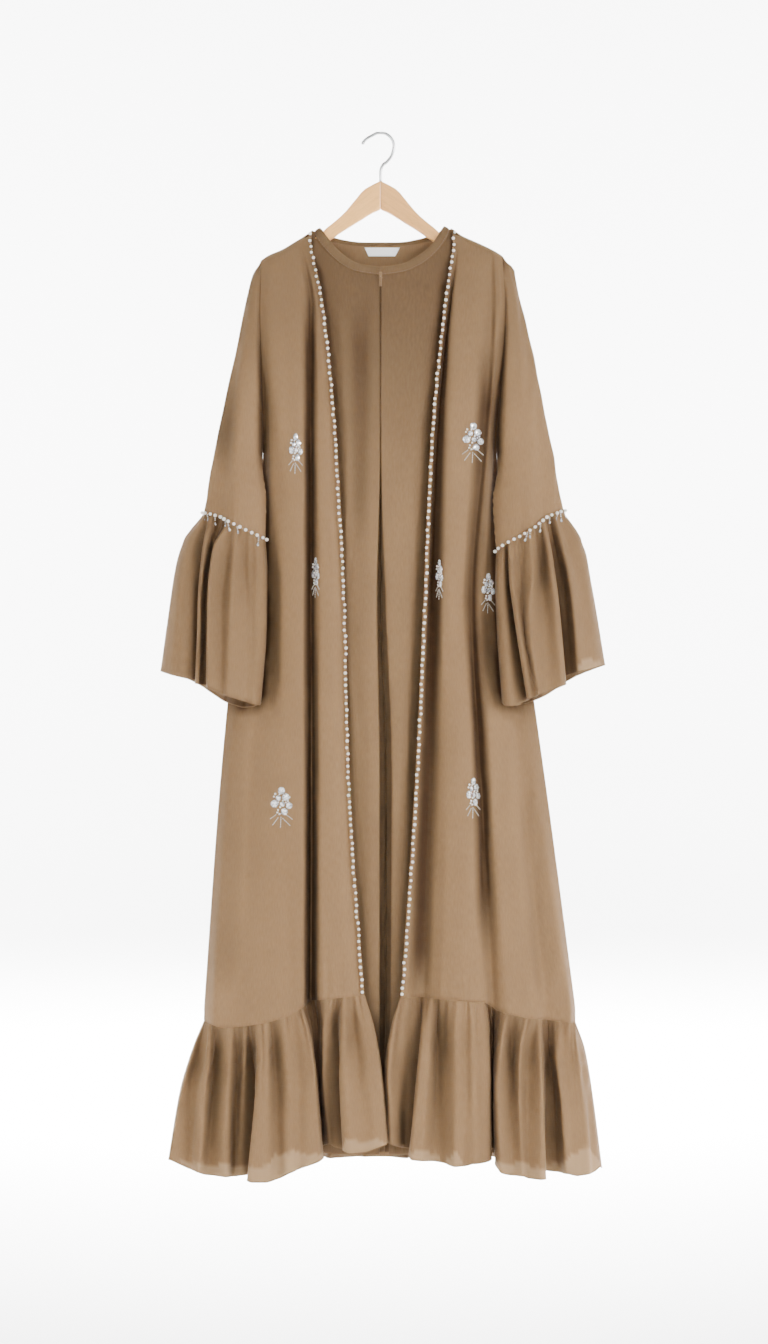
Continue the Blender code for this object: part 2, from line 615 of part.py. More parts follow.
def inner_edge_at(inner_edge, drop):
    """x and depth of the sleeve's inner edge below the underarm."""
    drops = [edge.drop for edge in inner_edge]
    x = smooth(drops, [edge.x for edge in inner_edge], drop)
    depth = smooth(drops, [edge.depth for edge in inner_edge], drop)
    return x, depth


def long_fold_at(fold, drop):
    """x and depth of one of the sleeve's long folds."""
    return smooth(SLEEVE_DROPS, fold.x, drop), smooth(SLEEVE_DROPS, fold.depth, drop)


def build_sleeve(name, folds, body_folds, inner_edge, cuff, corner_drop):
    """A sleeve: open towards the body above the underarm, and a tube below it."""
    outward = math.copysign(1, folds[0].x[0])
    merge_below = SLEEVE_ROWS.index(UNDERARM)
    rows = []
    for number, drop in enumerate(SLEEVE_ROWS):
        turned = roll(drop - corner_drop)
        if number < merge_below:
            x, depth = armhole(body_folds, drop, outward)
            first = (x, -SHOULDER_EDGE + (depth + SHOULDER_EDGE) * turned)
            x, depth = armhole(body_folds, drop, outward, back=True)
            last = (x, SHOULDER_EDGE + (depth - SHOULDER_EDGE) * turned)
        else:
            first = inner_edge_at(inner_edge, drop)
            last = first
        row = [first] + [long_fold_at(fold, drop) for fold in folds] + [last]
        rows.append([(*point, drop) for point in between_points(row)])
    for share in (0.5, 1.0):
        rows.append(loop_at_cuff(folds, inner_edge, cuff, share))
    if outward > 0:
        rows = [row[::-1] for row in rows]
    return sheet(name, rows, merge_below=merge_below), rows


def between_points(points):
    """The given points with smooth ones between them."""
    places = range(len(points))
    made = []
    for i in range((len(points) - 1) * BETWEEN + 1):
        made.append(tuple(smooth(places, values, i / BETWEEN) for values in zip(*points)))
    return made


def loop_at_cuff(folds, inner_edge, cuff, share):
    """The sleeve's section on the slanted seam, or a share of the way down to it."""
    last = SLEEVE_ROWS[-1]
    points = []
    for fold in [None] + list(folds):
        def on_line(drop):
            return long_fold_at(fold, drop) if fold else inner_edge_at(inner_edge, drop)
        seam = line_at(cuff, on_line(last + CUFF_BELOW)[0])
        drop = last + (seam - last) * share
        points.append((*on_line(drop), drop))
    points.append(points[0])
    return between_points(points)


def flute_at(flutes, along, field):
    """One measure of the flutes at a place counted in them."""
    return smooth(range(len(flutes)), [getattr(flute, field) for flute in flutes], along)


def ruffle_column(flutes, along, top):
    """One column of a ruffle, from the seam above it through its middle to its hem."""
    hem_drop = flute_at(flutes, along, "drop_hem")
    middle = (flute_at(flutes, along, "x_mid"), flute_at(flutes, along, "depth_mid"),
              (top[2] + hem_drop) / 2)
    hem = (flute_at(flutes, along, "x_hem"), flute_at(flutes, along, "depth_hem"), hem_drop)
    column = []
    for share in RUFFLE_SHARES:
        column.append(tuple(smooth((0, 0.5, 1), down, share) for down in zip(top, middle, hem)))
    return column


def build_sleeve_ruffle(name, sleeve_rows, flutes, outward):
    """A closed ruffle that hangs from the sleeve's lower edge."""
    seam = sleeve_rows[-1][::-1] if outward > 0 else sleeve_rows[-1]
    places = [i / BETWEEN for i in range(len(seam))]
    loop = list(flutes) + [flutes[0]._replace(at=places[-1])]
    grid = []
    for along in columns(loop)[:-1]:
        at = flute_at(loop, along, "at")
        x, depth, drop = (smooth(places, values, at) for values in zip(*seam))
        grid.append(ruffle_column(loop, along, (x, depth, drop + RUFFLE_DROP)))
    return sheet(name, rows_of(grid, towards_viewer=outward < 0), closed=True)


def build_hem_ruffle(name, panel_rows, flutes, towards_viewer=True):
    """A ruffle that hangs from the lower edge of a front or back panel."""
    seam_x, seam_depth, seam_drop = zip(*sorted(panel_rows[-1]))
    grid = []
    for along in columns(flutes):
        x = flute_at(flutes, along, "at")
        top = (x, straight(seam_x, seam_depth, x), straight(seam_x, seam_drop, x) + RUFFLE_DROP)
        grid.append(ruffle_column(flutes, along, top))
    return sheet(name, rows_of(grid, towards_viewer))


def straight(knots, values, at):
    """Straight lines between the values, as the facets of an edge run."""
    for i in range(len(knots) - 1):
        if at <= knots[i + 1]:
            share = (at - knots[i]) / (knots[i + 1] - knots[i])
            return values[i] + (values[i + 1] - values[i]) * max(share, 0.0)
    return values[-1]


def back_flutes():
    """Flutes round the back of the hem, a little uneven in width and depth."""
    left = FRONT_LEFT[-1].x[-1]
    right = FRONT_RIGHT[-1].x[-1]
    made = [BACK_END_LEFT]
    steps = BACK_FLUTES * 2
    for i in range(1, steps):
        share = i / steps + BACK_UNEVEN * math.sin(BACK_UNEVEN_TURN * i) / steps
        seam_x = left + (right - left) * share
        hem_x = BACK_END_LEFT.x_hem + (BACK_END_RIGHT.x_hem - BACK_END_LEFT.x_hem) * share
        ridge = i % 2
        from_side = min(i, steps - i) / steps
        depth = BACK_HOLLOW + BACK_RIDGE * ridge + BACK_SWELL * math.sin(BACK_SWELL_TURN * i)
        depth *= min(from_side * BACK_RISE, 1.0)
        raised = BACK_SIDE_RAISED * (1 - min(from_side * BACK_RAISE_ENDS, 1.0)) ** 2
        drop = BACK_HEM_DROP - raised + BACK_RIDGE_LOWER * ridge
        made.append(Flute(seam_x, (seam_x + hem_x) / 2, depth * BACK_MIDDLE, hem_x, depth, drop))
    made.append(BACK_END_RIGHT)
    return made


def build_bead_edge(name, panel_rows):
    """The narrow edging that carries the pearls, on the open edge of an outer front."""
    rows = []
    for row in panel_rows[2:]:
        start, end = Vector(row[0]), Vector(row[BETWEEN])
        rows.append([tuple(moved_out(start, end, at, CLOTH + LIFT)) for at in BEAD_EDGE_COLUMNS])
    return sheet(name, rows, finish="edging")


def moved_out(start, end, share, distance):
    """A point between two points of a row, moved towards the viewer off the cloth."""
    run = (end - start).xy
    out = Vector((run.y, -run.x, 0)).normalized()
    if out.y > 0:
        out = -out
    return start + (end - start) * share + out * distance


def build_sleeve_bead(name, sleeve_rows):
    """The edging round the slanted seam of a sleeve, just outside the cloth."""
    seam = [Vector(point) for point in sleeve_rows[-1][:-1]]
    rows = []
    for rise in SLEEVE_BEAD_EDGES:
        row = []
        for i, here in enumerate(seam):
            run_in = (here - seam[i - 1]).xy.normalized()
            run_on = (seam[(i + 1) % len(seam)] - here).xy.normalized()
            both = run_in + run_on
            mitre = Vector((both.y, -both.x)) / (1 + max(run_in.dot(run_on), SHARPEST_MITRE))
            out = mitre * (CLOTH + LIFT + SEAM)
            row.append((here.x + out.x, here.y + out.y, here.z + rise))
        rows.append(row)
    return sheet(name, rows, closed=True, finish="edging")


def build_bouquet(bouquet, tree):
    """A raised bouquet laid on a front: rows of points on the cloth, moved out."""
    reach = LIFT + RAISED / 2 + bouquet.over_folds
    rows = []
    for share in BOUQUET_ROWS:
        drop = bouquet.drop + bouquet.height * (share - 0.5)
        half = bouquet.width / 2 * smooth(BOUQUET_DOWN, BOUQUET_HALF, share)
        row = []
        for side in BOUQUET_COLUMNS:
            start = place(bouquet.x + side * half, BEFORE_THE_CLOTH, drop)
            hit, normal, _, _ = tree.ray_cast(start, Vector((0, 1, 0)))
            point = hit / MM + normal * reach
            row.append((point.x, point.y, -point.z))
        rows.append(row)
    return sheet(bouquet.name, rows, thickness=RAISED, finish="beadwork")


# The label's upper and lower edge on the inside of the back neck: x at three places, drop
LABEL_UPPER = ((-24, 0, 29), 169.8)
LABEL_LOWER = ((-18, 1, 22), 182.5)
LABEL_DEPTH = 9.0 - CLOTH - LIFT
LABEL_THICK = 1.0


def build_label():
    """The blank label, a trapezoid on the inside of the back neck."""
    rows = [[(x, LABEL_DEPTH, drop) for x in xs] for xs, drop in (LABEL_UPPER, LABEL_LOWER)]
    return sheet("label", rows, thickness=LABEL_THICK, finish="label")


def finish_object(made, name, finish):
    """Name an object, give it its material and shade it with crisp edges."""
    made.name = name
    made.data.name = name
    move_to(made, PARTS)
    made.data.materials.clear()
    made.data.materials.append(material(name, finish))
    made.data.shade_smooth()
    made.data.set_sharp_from_angle(angle=math.radians(SHARP_ANGLE))


def move_to(made, collection):
    """Keep an object in this collection only."""
    for holder in list(made.users_collection):
        holder.objects.unlink(made)
    collection.objects.link(made)


# The hanger's left arm, clockwise from the joint's top: x, drop
ARM_OUTLINE = (
    (0, 70.5), (-13, 77), (-26, 84.5), (-40, 102), (-55, 120), (-70, 133), (-82, 142),
    (-91, 151.5), (-103, 158), (-121, 166.5), (-148, 181.5), (-162, 189), (-172, 198),
    (-173, 205), (-166, 209), (-150, 203), (-125, 190), (-100, 175), (-73, 158),
    (-61, 149), (-31, 130.5), (-14, 119.5), (0, 113.5),
)
ARM_JOINT = 0.3        # half the space between the two arms
ARM_ROUNDING = 3.0
SHARP_ANGLE = 40


def build_arm(name, side):
    """One arm of the hanger: a flat outline, thickened, with rounded edges."""
    curve = bpy.data.curves.new(name, "CURVE")
    curve.dimensions = "2D"
    curve.fill_mode = "BOTH"
    curve.extrude = (WOOD / 2 - ARM_ROUNDING) * MM
    curve.bevel_depth = ARM_ROUNDING * MM
    curve.bevel_resolution = 1
    curve.offset = -ARM_ROUNDING * MM
    spline = curve.splines.new("POLY")
    spline.points.add(len(ARM_OUTLINE) - 1)
    spline.use_cyclic_u = True
    for point, (x, drop) in zip(spline.points, ARM_OUTLINE):
        point.co = (side * (ARM_JOINT - x) * MM, -drop * MM, 0.0, 1.0)
    drawn = bpy.data.objects.new(name + "_outline", curve)
    PARTS.objects.link(drawn)
    drawn.rotation_euler = (math.pi / 2, 0, 0)
    bpy.context.view_layer.update()
    mesh = bpy.data.meshes.new_from_object(drawn.evaluated_get(bpy.context.evaluated_depsgraph_get()))
    mesh.transform(drawn.matrix_world)
    bpy.data.objects.remove(drawn, do_unlink=True)
    bm = bmesh.new()
    bm.from_mesh(mesh)
    bmesh.ops.remove_doubles(bm, verts=bm.verts, dist=0.00001)
    bmesh.ops.recalc_face_normals(bm, faces=bm.faces)
    bm.to_mesh(mesh)
    bm.free()
    made = bpy.data.objects.new(name, mesh)
    PARTS.objects.link(made)
    finish_object(made, name, "wood")
    return made


# The hook's centre line: up from the wood, round the crown over the origin, to the tip
HOOK_SHANK = ((0, 70.2), (0, 58), (3, 47), (9.5, 42), (17.5, 30))
HOOK_RADIUS = 20.0
HOOK_TIP = ((-22, 24), (-25.5, 15))
HOOK_STEPS = 9


def build_hook():
    """The hook: a bent wire whose crown passes over the origin."""
    centre_drop = HOOK_RADIUS - WIRE / 2
    route = list(HOOK_SHANK)
    for i in range(HOOK_STEPS):
        angle = math.pi * i / HOOK_STEPS
        route.append((HOOK_RADIUS * math.cos(angle), centre_drop - HOOK_RADIUS * math.sin(angle)))
    route += HOOK_TIP
    curve = bpy.data.curves.new("hanger_hook", "CURVE")
    curve.dimensions = "3D"
    curve.bevel_depth = WIRE / 2 * MM
    curve.bevel_resolution = 2
    curve.use_fill_caps = True
    spline = curve.splines.new("POLY")
    spline.points.add(len(route) - 1)
    for point, (x, drop) in zip(spline.points, route):
        point.co = (x * MM, 0.0, -drop * MM, 1.0)
    made = bpy.data.objects.new("hanger_hook", curve)
    PARTS.objects.link(made)
    curve.materials.append(material("hanger_hook", "chrome"))
    return made


# The zip's slider and pull at the top of the centre seam
SLIDER_TOP, SLIDER_BOTTOM = 209.0, 218.5
SLIDER_WIDTH, SLIDER_THICK = 4.6, 1.5
SLIDER_BACK = -15.8
PIVOT_DROP = 214.0
BRIDGE_WIRE = 1.1
BRIDGE_UP, BRIDGE_DOWN, BRIDGE_OUT = 2.3, 1.7, 2.4
BRIDGE_ROOT = 0.5      # how far the bridge is sunk in the plate
PULL_LENGTH, PULL_WIDTH, PULL_THICK = 16.5, 4.0, 1.0
PULL_GAP = 0.35        # from the plate to the pull
PULL_ABOVE = 0.55      # from the pivot up to the pull's end
SLOT_WIDTH, SLOT_TOP, SLOT_BOTTOM = 2.2, 0.6, 4.4


def box(name, low, high):
    """A box between two corners, in metres."""
    bpy.ops.mesh.primitive_cube_add(size=1.0, location=(low + high) / 2)
    made = bpy.context.active_object
    made.scale = high - low
    bpy.ops.object.transform_apply(location=False, rotation=False, scale=True)
    made.name = name
    return made


def apply_modifier(made, name):
    bpy.context.view_layer.objects.active = made
    with bpy.context.temp_override(object=made, active_object=made, selected_objects=[made]):
        bpy.ops.object.modifier_apply(modifier=name)


def rounded(made, width):
    """Break the edges of a small metal piece."""
    edge = made.modifiers.new("edges", "BEVEL")
    edge.width = width * MM
    edge.segments = 2
    apply_modifier(made, "edges")


def combine(made, other, operation):
    """Join another solid to a piece, or cut it out."""
    step = made.modifiers.new("combine", "BOOLEAN")
    step.operation = operation
    step.solver = "EXACT"
    step.object = other
    apply_modifier(made, "combine")


def build_slider():
    """The slider's plate with the small bridge that holds the pull."""
    front = SLIDER_BACK - SLIDER_THICK
    plate = box("zip_slider", place(-SLIDER_WIDTH / 2, front, SLIDER_BOTTOM),
                place(SLIDER_WIDTH / 2, SLIDER_BACK, SLIDER_TOP))
    rounded(plate, 0.35)
    half = BRIDGE_WIRE / 2
    out = front - BRIDGE_OUT
    root = front + BRIDGE_ROOT
    upper = PIVOT_DROP - BRIDGE_UP
    lower = PIVOT_DROP + BRIDGE_DOWN
    bridge = (
        (out, root, upper - half, upper + half),
        (out, root, lower - half, lower + half),
        (out - half, out + half, upper - half, lower + half),
    )
    for near, far, top, bottom in bridge:
        leg = box("bridge", place(-half, near, bottom), place(half, far, top))
        combine(plate, leg, "UNION")
        bpy.data.objects.remove(leg, do_unlink=True)
    finish_object(plate, "zip_slider", "zip")


def build_pull():
    """The pull: a flat tab with a slot that the bridge passes through."""
    depth = SLIDER_BACK - SLIDER_THICK - PULL_GAP - PULL_THICK / 2
    pivot = place(0, depth, PIVOT_DROP)
    low = place(-PULL_WIDTH / 2, depth - PULL_THICK / 2, PIVOT_DROP + PULL_LENGTH)
    high = place(PULL_WIDTH / 2, depth + PULL_THICK / 2, PIVOT_DROP - PULL_ABOVE)
    tab = box("zip_pull", low, high)
    rounded(tab, 0.3)
    cutter = box("pull_slot", place(-SLOT_WIDTH / 2, depth - PULL_THICK, PIVOT_DROP + SLOT_BOTTOM),
                 place(SLOT_WIDTH / 2, depth + PULL_THICK, PIVOT_DROP + SLOT_TOP))
    move_to(cutter, CUTTERS)
    cutter.hide_render = True
    cutter.display_type = "WIRE"
    combine(tab, cutter, "DIFFERENCE")
    finish_object(tab, "zip_pull", "zip")
    offset = pivot - tab.location
    for vertex in tab.data.vertices:
        vertex.co -= offset
    tab.location = pivot


def main():
    front_left, left_rows = build_outer_front("front_left", FRONT_LEFT, SHOULDER_LEFT, HEM_SEAM)
    front_right, right_rows = build_outer_front("front_right", FRONT_RIGHT, SHOULDER_RIGHT, HEM_SEAM)
    build_inner_front("inner_front_left", INNER_LEFT)
    build_inner_front("inner_front_right", INNER_RIGHT)
    back_rows = build_back()
    build_neckband()
    build_label()
    _, sleeve_left = build_sleeve("sleeve_left", SLEEVE_LEFT, FRONT_LEFT, INNER_EDGE_LEFT,
                                  CUFF_LEFT, SHOULDER_LEFT[0][1])
    _, sleeve_right = build_sleeve("sleeve_right", SLEEVE_RIGHT, FRONT_RIGHT, INNER_EDGE_RIGHT,
                                   CUFF_RIGHT, SHOULDER_RIGHT[-1][1])
    build_sleeve_ruffle("sleeve_ruffle_left", sleeve_left, CUFF_FLUTES_LEFT, -1)
    build_sleeve_ruffle("sleeve_ruffle_right", sleeve_right, CUFF_FLUTES_RIGHT, 1)
    build_sleeve_bead("sleeve_bead_left", sleeve_left)
    build_sleeve_bead("sleeve_bead_right", sleeve_right)
    build_hem_ruffle("hem_ruffle_left", left_rows, HEM_FLUTES_LEFT)
    build_hem_ruffle("hem_ruffle_right", right_rows, HEM_FLUTES_RIGHT)
    build_hem_ruffle("hem_ruffle_back", back_rows, back_flutes(), towards_viewer=False)
    build_bead_edge("bead_edge_left", left_rows)
    build_bead_edge("bead_edge_right", right_rows)
    trees = {"front_left": evaluated_tree(front_left), "front_right": evaluated_tree(front_right)}
    for bouquet in BOUQUETS:
        build_bouquet(bouquet, trees[bouquet.panel])
    build_arm("hanger_arm_left", -1)
    build_arm("hanger_arm_right", 1)
    build_hook()
    build_slider()
    build_pull()


clear_scene()
PARTS = new_collection("abaya cloak on a hanger")
CUTTERS = new_collection("cutters")
main()
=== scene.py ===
"""Dresses the abaya cloak on its hanger: cloth, beadwork, hanger and stage.

Tables are in millimetres, as x across, depth along Y and drop, the distance below the hook.
Left and right are the viewer's.
"""
import functools
import itertools
import math
import random
from collections import namedtuple

import bmesh
import bpy
import numpy as np
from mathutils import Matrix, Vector
from mathutils.bvhtree import BVHTree


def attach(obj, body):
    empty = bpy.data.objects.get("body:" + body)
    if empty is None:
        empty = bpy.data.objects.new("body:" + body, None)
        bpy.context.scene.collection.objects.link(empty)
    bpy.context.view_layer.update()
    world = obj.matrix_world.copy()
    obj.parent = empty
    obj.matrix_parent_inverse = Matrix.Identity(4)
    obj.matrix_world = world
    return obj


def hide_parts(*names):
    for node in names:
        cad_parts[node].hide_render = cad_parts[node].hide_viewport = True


bl_info = {
    "name": "Abaya cloak on a hanger",
    "version": (1, 0, 0),
    "blender": (4, 5, 0),
    "location": "View3D > Sidebar > Abaya",
    "description": "Makes the cloth, beadwork, hanger and stage of an abaya cloak",
    "category": "Object",
}

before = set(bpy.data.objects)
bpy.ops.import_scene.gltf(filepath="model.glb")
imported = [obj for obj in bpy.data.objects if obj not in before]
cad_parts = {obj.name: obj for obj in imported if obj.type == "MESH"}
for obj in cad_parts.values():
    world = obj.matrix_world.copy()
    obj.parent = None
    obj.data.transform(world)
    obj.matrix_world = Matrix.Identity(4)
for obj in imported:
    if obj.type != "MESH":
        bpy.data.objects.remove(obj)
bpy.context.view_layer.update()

MM = 0.001
GARMENT = "garment"    # the body that every piece here rides on
BAND_WALL, EDGING_WALL, CUFF_EDGING_WALL, LABEL_WALL = 1.5 * MM, 0.9 * MM, 0.8 * MM, 0.6 * MM
# Painted shade added to the narrow bands, which makes them darker than the cloth beside them
EDGING_SHADE = 0.12    # how much darker the narrow bands are than the cloth beside them
SIDES = ("left", "right")


def rows_of(kind, *rows):
    """The rows of a table, with a name for each column."""
    return tuple(kind(*row) for row in rows)


UNDERARM = 474.0       # drop of the underarm
LINING_HEM = 1526.0    # drop of the plain hem of the inner front
SHOULDER_EDGE = 0.5    # depth of the front's edge at the shoulder seam
ARMHOLE_SEAM = 0.2     # from the body's edge to the sleeve's
ROLL = 9.0             # how far below the shoulder line the cloth has turned down
TUCK = 2.5             # how far a panel reaches under the neckband

BODY_DROPS = (170, 260, UNDERARM, 700, 960, 1310)
INNER_DROPS = (200, 260, UNDERARM, 700, 960, LINING_HEM)
SLEEVE_DROPS = (193, 208, 236, 300, 380, UNDERARM, 600)

# The shoulder seam, from the neck out to the armhole: x, drop
SHOULDERS = {
    "left": ((-178, 190), (-166, 182), (-148, 174), (-121, 158), (-103, 148.5), (-94, 142.5)),
    "right": ((98, 139.5), (107, 145.5), (125, 154.5), (152, 166.5), (170, 175.5), (181, 183)),
}

# Where the back rolls over the hanger, and where it is cut away for the neck: x
SHOULDER_ENDS = (-103, -92, 96, 107)

# The neckband, from the centre front round the left shoulder and the back to the centre
# front again: x and drop of its upper edge, x and drop of its lower edge, depth
Band = namedtuple("Band", "x_in drop_in x_out drop_out depth")
NECKBAND = rows_of(
    Band,
    (-0.4, 202, -0.4, 213.5, -14.5),
    (-31, 197.5, -34, 208.5, -13.6),
    (-50, 188, -56, 199, -12.2),
    (-64.5, 175, -73, 185, -10.4),
    (-77, 160.5, -87, 170, -8.6),
    (-85, 150, -95, 158.5, -7.6),
    (-89, 144, -98, 151.5, -4.6),
    (-91, 141.5, -98.8, 147.4, 0.0),
    (-88.5, 144, -97, 151, 4.6),
    (-84, 149, -92, 157, 7.4),
    (-70, 155, -75, 163.5, 8.4),
    (-25, 162, -27, 169.5, 9.0),
    (25, 162, 27, 169.5, 9.0),
    (72, 153.5, 77, 162, 8.4),
    (88, 147.5, 96, 155, 7.4),
    (93.5, 141.5, 101, 148.5, 4.6),
    (96, 139, 103.4, 144.6, 0.0),
    (94, 141.5, 102, 149.5, -4.6),
    (90, 148, 99, 156, -7.6),
    (83, 159, 92, 168, -8.6),
    (69, 175.5, 77, 185, -10.4),
    (50, 189, 56, 200, -12.2),
    (30, 198, 33, 209, -13.6),
    (0.4, 202, 0.4, 213.5, -14.5),
)

# Each fold line of a panel: its x and its depth at the drops above
Fold = namedtuple("Fold", "name x depth")
FRONTS = {}
FRONTS["left"] = rows_of(
    Fold,
    ("pearl edge", (-103, -84.5, -64.5, -53, -46, -22.5), (-9, -17, -26, -31, -38, -48)),
    ("edging", (-107, -90, -70, -59, -52, -29), (-9, -17.5, -27, -32.5, -39.5, -49.5)),
    ("near ridge", (-111, -94, -80, -72, -70, -58), (-9, -19, -30, -37, -45, -56)),
    ("ridge shoulder", (-114, -97, -92, -89, -88, -86), (-9, -18, -28, -35, -43, -53)),
    ("deep valley", (-118, -104, -104, -103.5, -103, -104), (-9, -10, -12, -14, -18, -23)),
    ("crisp edge", (-124, -115.5, -116, -116, -116, -117), (-9, -20, -28, -34, -41, -52)),
    ("plane start", (-128, -121, -122, -122, -123, -124), (-9, -20, -28, -33.5, -40.5, -51)),
    ("plane middle", (-145, -146, -145, -144, -147, -152), (-9, -19, -26, -30, -38, -48)),
    ("plane end", (-162, -166, -162, -163, -172, -192), (-9, -16, -17, -14, -29, -42)),
    ("soft valley", (-168, -173, -169, -182, -195, -220), (-8.5, -13.5, -8, -5, -17, -29)),
    ("soft ridge", (-173, -177, -173, -198, -222, -246), (-8.5, -12, -4, -3, -15, -27)),
    ("side", (-178, -181, -176, -212, -239, -264.5), (-8, -11, -0.9, 2, -0.9, -0.9)),
)
FRONTS["right"] = rows_of(
    Fold,
    ("pearl edge", (108, 94.5, 74, 64, 52, 28.5), (-9, -17, -26, -31, -38, -48)),
    ("edging", (112, 99.5, 79, 69, 57.5, 35), (-9, -16.5, -25.5, -30, -36.5, -47)),
    ("valley by the pearls", (115, 103.5, 85, 77, 74, 63), (-9, -12.5, -16, -19, -23, -30)),
    ("ridge shoulder", (120, 108, 97, 94, 100, 96), (-9, -20, -30, -36, -42, -52)),
    ("broad ridge", (126, 114, 108, 105, 120, 126), (-9, -21.5, -33, -38, -45, -56)),
    ("broad plane", (146, 144, 132, 121, 137, 150), (-9, -20, -30, -34, -40, -50)),
    ("crisp valley", (166, 165.5, 153, 136, 149.5, 168), (-9, -12, -16, -18, -24, -34)),
    ("side ridge", (170, 173, 160, 146, 166, 190), (-9, -16, -20, -24, -36, -48)),
    ("ridge end", (173, 178, 165, 163, 189, 224), (-8.5, -15.5, -14, -14, -30, -44)),
    ("soft valley", (176, 182, 168.5, 182, 212, 250), (-8.5, -13.5, -8, -5, -15, -25)),
    ("soft ridge", (178, 185, 171, 194, 227, 280), (-8.5, -12.5, -4, -3, -14, -25)),
    ("side", (181, 187, 174, 208, 245.5, 292), (-8, -11, -0.9, 2, -0.9, -0.9)),
)
INNERS = {}
INNERS["left"] = rows_of(
    Fold,
    ("pleat floor", (-0.4, -0.4, -0.4, 0.5, 7.5, 5.5), (-10, -11.4, -15, -8, -7, -8)),
    ("pleat return", (-6.5, -6.5, -7.5, -16, -13, -14), (-12.2, -13.6, -17.2, -13, -12, -13)),
    ("centre fold", (-0.9, -0.9, -0.9, -5.5, -1.5, -2), (-14.5, -16, -19.7, -22, -24, -26)),
    ("centre ridge", (-9, -9, -11, -18, -16, -16), (-14.4, -16.2, -20.5, -24.5, -27, -29)),
    ("soft valley", (-33, -31, -33, -43, -32, -32), (-13.6, -14, -18, -21, -25, -27)),
    ("outer ridge", (-55, -56, -48, -51, -44, -45), (-12, -14.5, -19, -21.5, -25, -27)),
    ("pearl shadow", (-73, -74, -63, -62, -57, -60), (-10.2, -11.5, -15, -17, -20, -24)),
    ("under the valley", (-92, -104, -104, -104, -104, -104), (-7.6, -7.4, -7.5, -8, -8, -8)),
    ("under the plane", (-132, -146, -145, -145, -150, -175), (-7, -7.2, -8, -9, -11, -14)),
    ("side", (-166, -168, -162, -184, -222, -258), (-7, -7, -5, -1.5, -4.5, -5)),
)
INNERS["right"] = rows_of(
    Fold,
    ("pleat floor", (0.4, 0.4, 0.4, 1.3, 8.3, 6.3), (-10, -11.4, -15, -8, -7, -8)),
    ("pleat return", (6.5, 6.5, 7.5, 18, 30, 26), (-12.2, -13.6, -17.2, -13, -12, -13)),
    ("centre fold", (0.9, 0.9, 0.9, 7.5, 17, 13), (-14.5, -16, -19.7, -22, -24, -26)),
    ("centre ridge", (9, 9, 12, 20, 28, 25), (-14.4, -16.2, -20.5, -24.5, -27, -29)),
    ("flat middle", (45, 46, 42, 41, 39, 38), (-12.8, -15, -20, -23, -26, -28)),
    ("pearl shadow", (74, 84, 69, 59, 51, 56), (-10.2, -11, -15, -17, -20, -24)),
    ("under the valley", (96, 104, 88, 80, 78, 76), (-7.6, -7.6, -9, -10, -11, -12)),
    ("under the plane", (136, 156, 150, 137, 150, 172), (-7, -7.2, -8, -8.5, -10, -13)),
    ("side", (168, 173, 160, 180, 229, 284), (-7, -7.2, -5, -1.5, -4.5, -5)),
)

# Folds of the back: how far out each lies, as a share of the half width, and its depth
BACK = rows_of(
    Fold,
    ("side", 1.0, (8, 12, 0.9, 3.9, 0.9, 0.9)),
    ("side hollow", 0.93, (8.4, 14, 10, 9, 12, 12)),
    ("side ridge", 0.82, (8.8, 15, 19, 20, 29, 36)),
    ("side valley", 0.64, (8.8, 13, 14, 16, 18, 21)),
    ("middle ridge", 0.46, (8.8, 15, 21, 28, 34, 41)),
    ("middle valley", 0.23, (8.8, 13, 16, 19, 22, 25)),
    ("centre ridge", 0.0, (9, 14, 20, 27, 33, 40)),
)

# The sleeve's long folds, round from the front seam to the back seam: depth, and x on the
# left and the right sleeve, at the sleeve's drops. The sleeve's first and last lines come from
# the armhole above the underarm.
SleeveFold = namedtuple("SleeveFold", "name depth left right")
SLEEVE = rows_of(
    SleeveFold,
    ("front strip", (-1.4, -7, -12.5, -17, -20, -22, -37),
     (-179, -182, -187, -188, -187, -187, -183), (182, 185, 191, 192, 189, 186, 184)),
    ("crisp ridge", (-1.5, -6.5, -10, -15, -21, -28, -43),
     (-179.6, -186, -194, -199, -208, -213, -215), (182.6, 190, 199, 205, 209, 213, 219)),
    ("dark side", (-1.2, -3.5, -6, -8, -12, -16, -28),
     (-180.4, -188, -197, -206, -219, -229, -239), (183.6, 194, 203, 214, 227, 239, 250)),
    ("outer edge", (0, -0.5, -1, -1.5, -2, -3, -9),
     (-181.2, -190, -198, -211, -228.5, -248, -269), (184.6, 199, 206, 222, 238.5, 257, 280)),
    ("back outer", (1.2, 5, 9, 12, 13, 13, 5),
     (-180.4, -187, -194, -204, -218, -233, -254), (183.6, 194, 202, 213, 226, 241, 263)),
    ("back middle", (1.4, 7, 12, 15, 15, 11, -8),
     (-179.4, -184, -189, -194, -200, -210, -220), (182.6, 188, 194, 199, 205, 214, 226)),
)
# The sleeve's inner edge below the underarm: drop, x, depth
INNER_EDGES = {
    "left": ((UNDERARM, -176.9, 0), (488, -177, -7), (505, -176.5, -12), (549, -171, -18),
             (610, -172, -25)),
    "right": ((UNDERARM, 174.9, 0), (488, 175, -7), (505, 175, -12), (549, 168, -18),
              (630, 173, -26)),
}
# The slanted seam between sleeve and ruffle: x, drop
CUFFS = {
    "left": ((-269, 568), (-248, 571), (-230, 580), (-203, 595), (-172, 610)),
    "right": ((173, 628), (190, 614), (211, 604), (230, 588), (257, 571), (280, 564)),
}

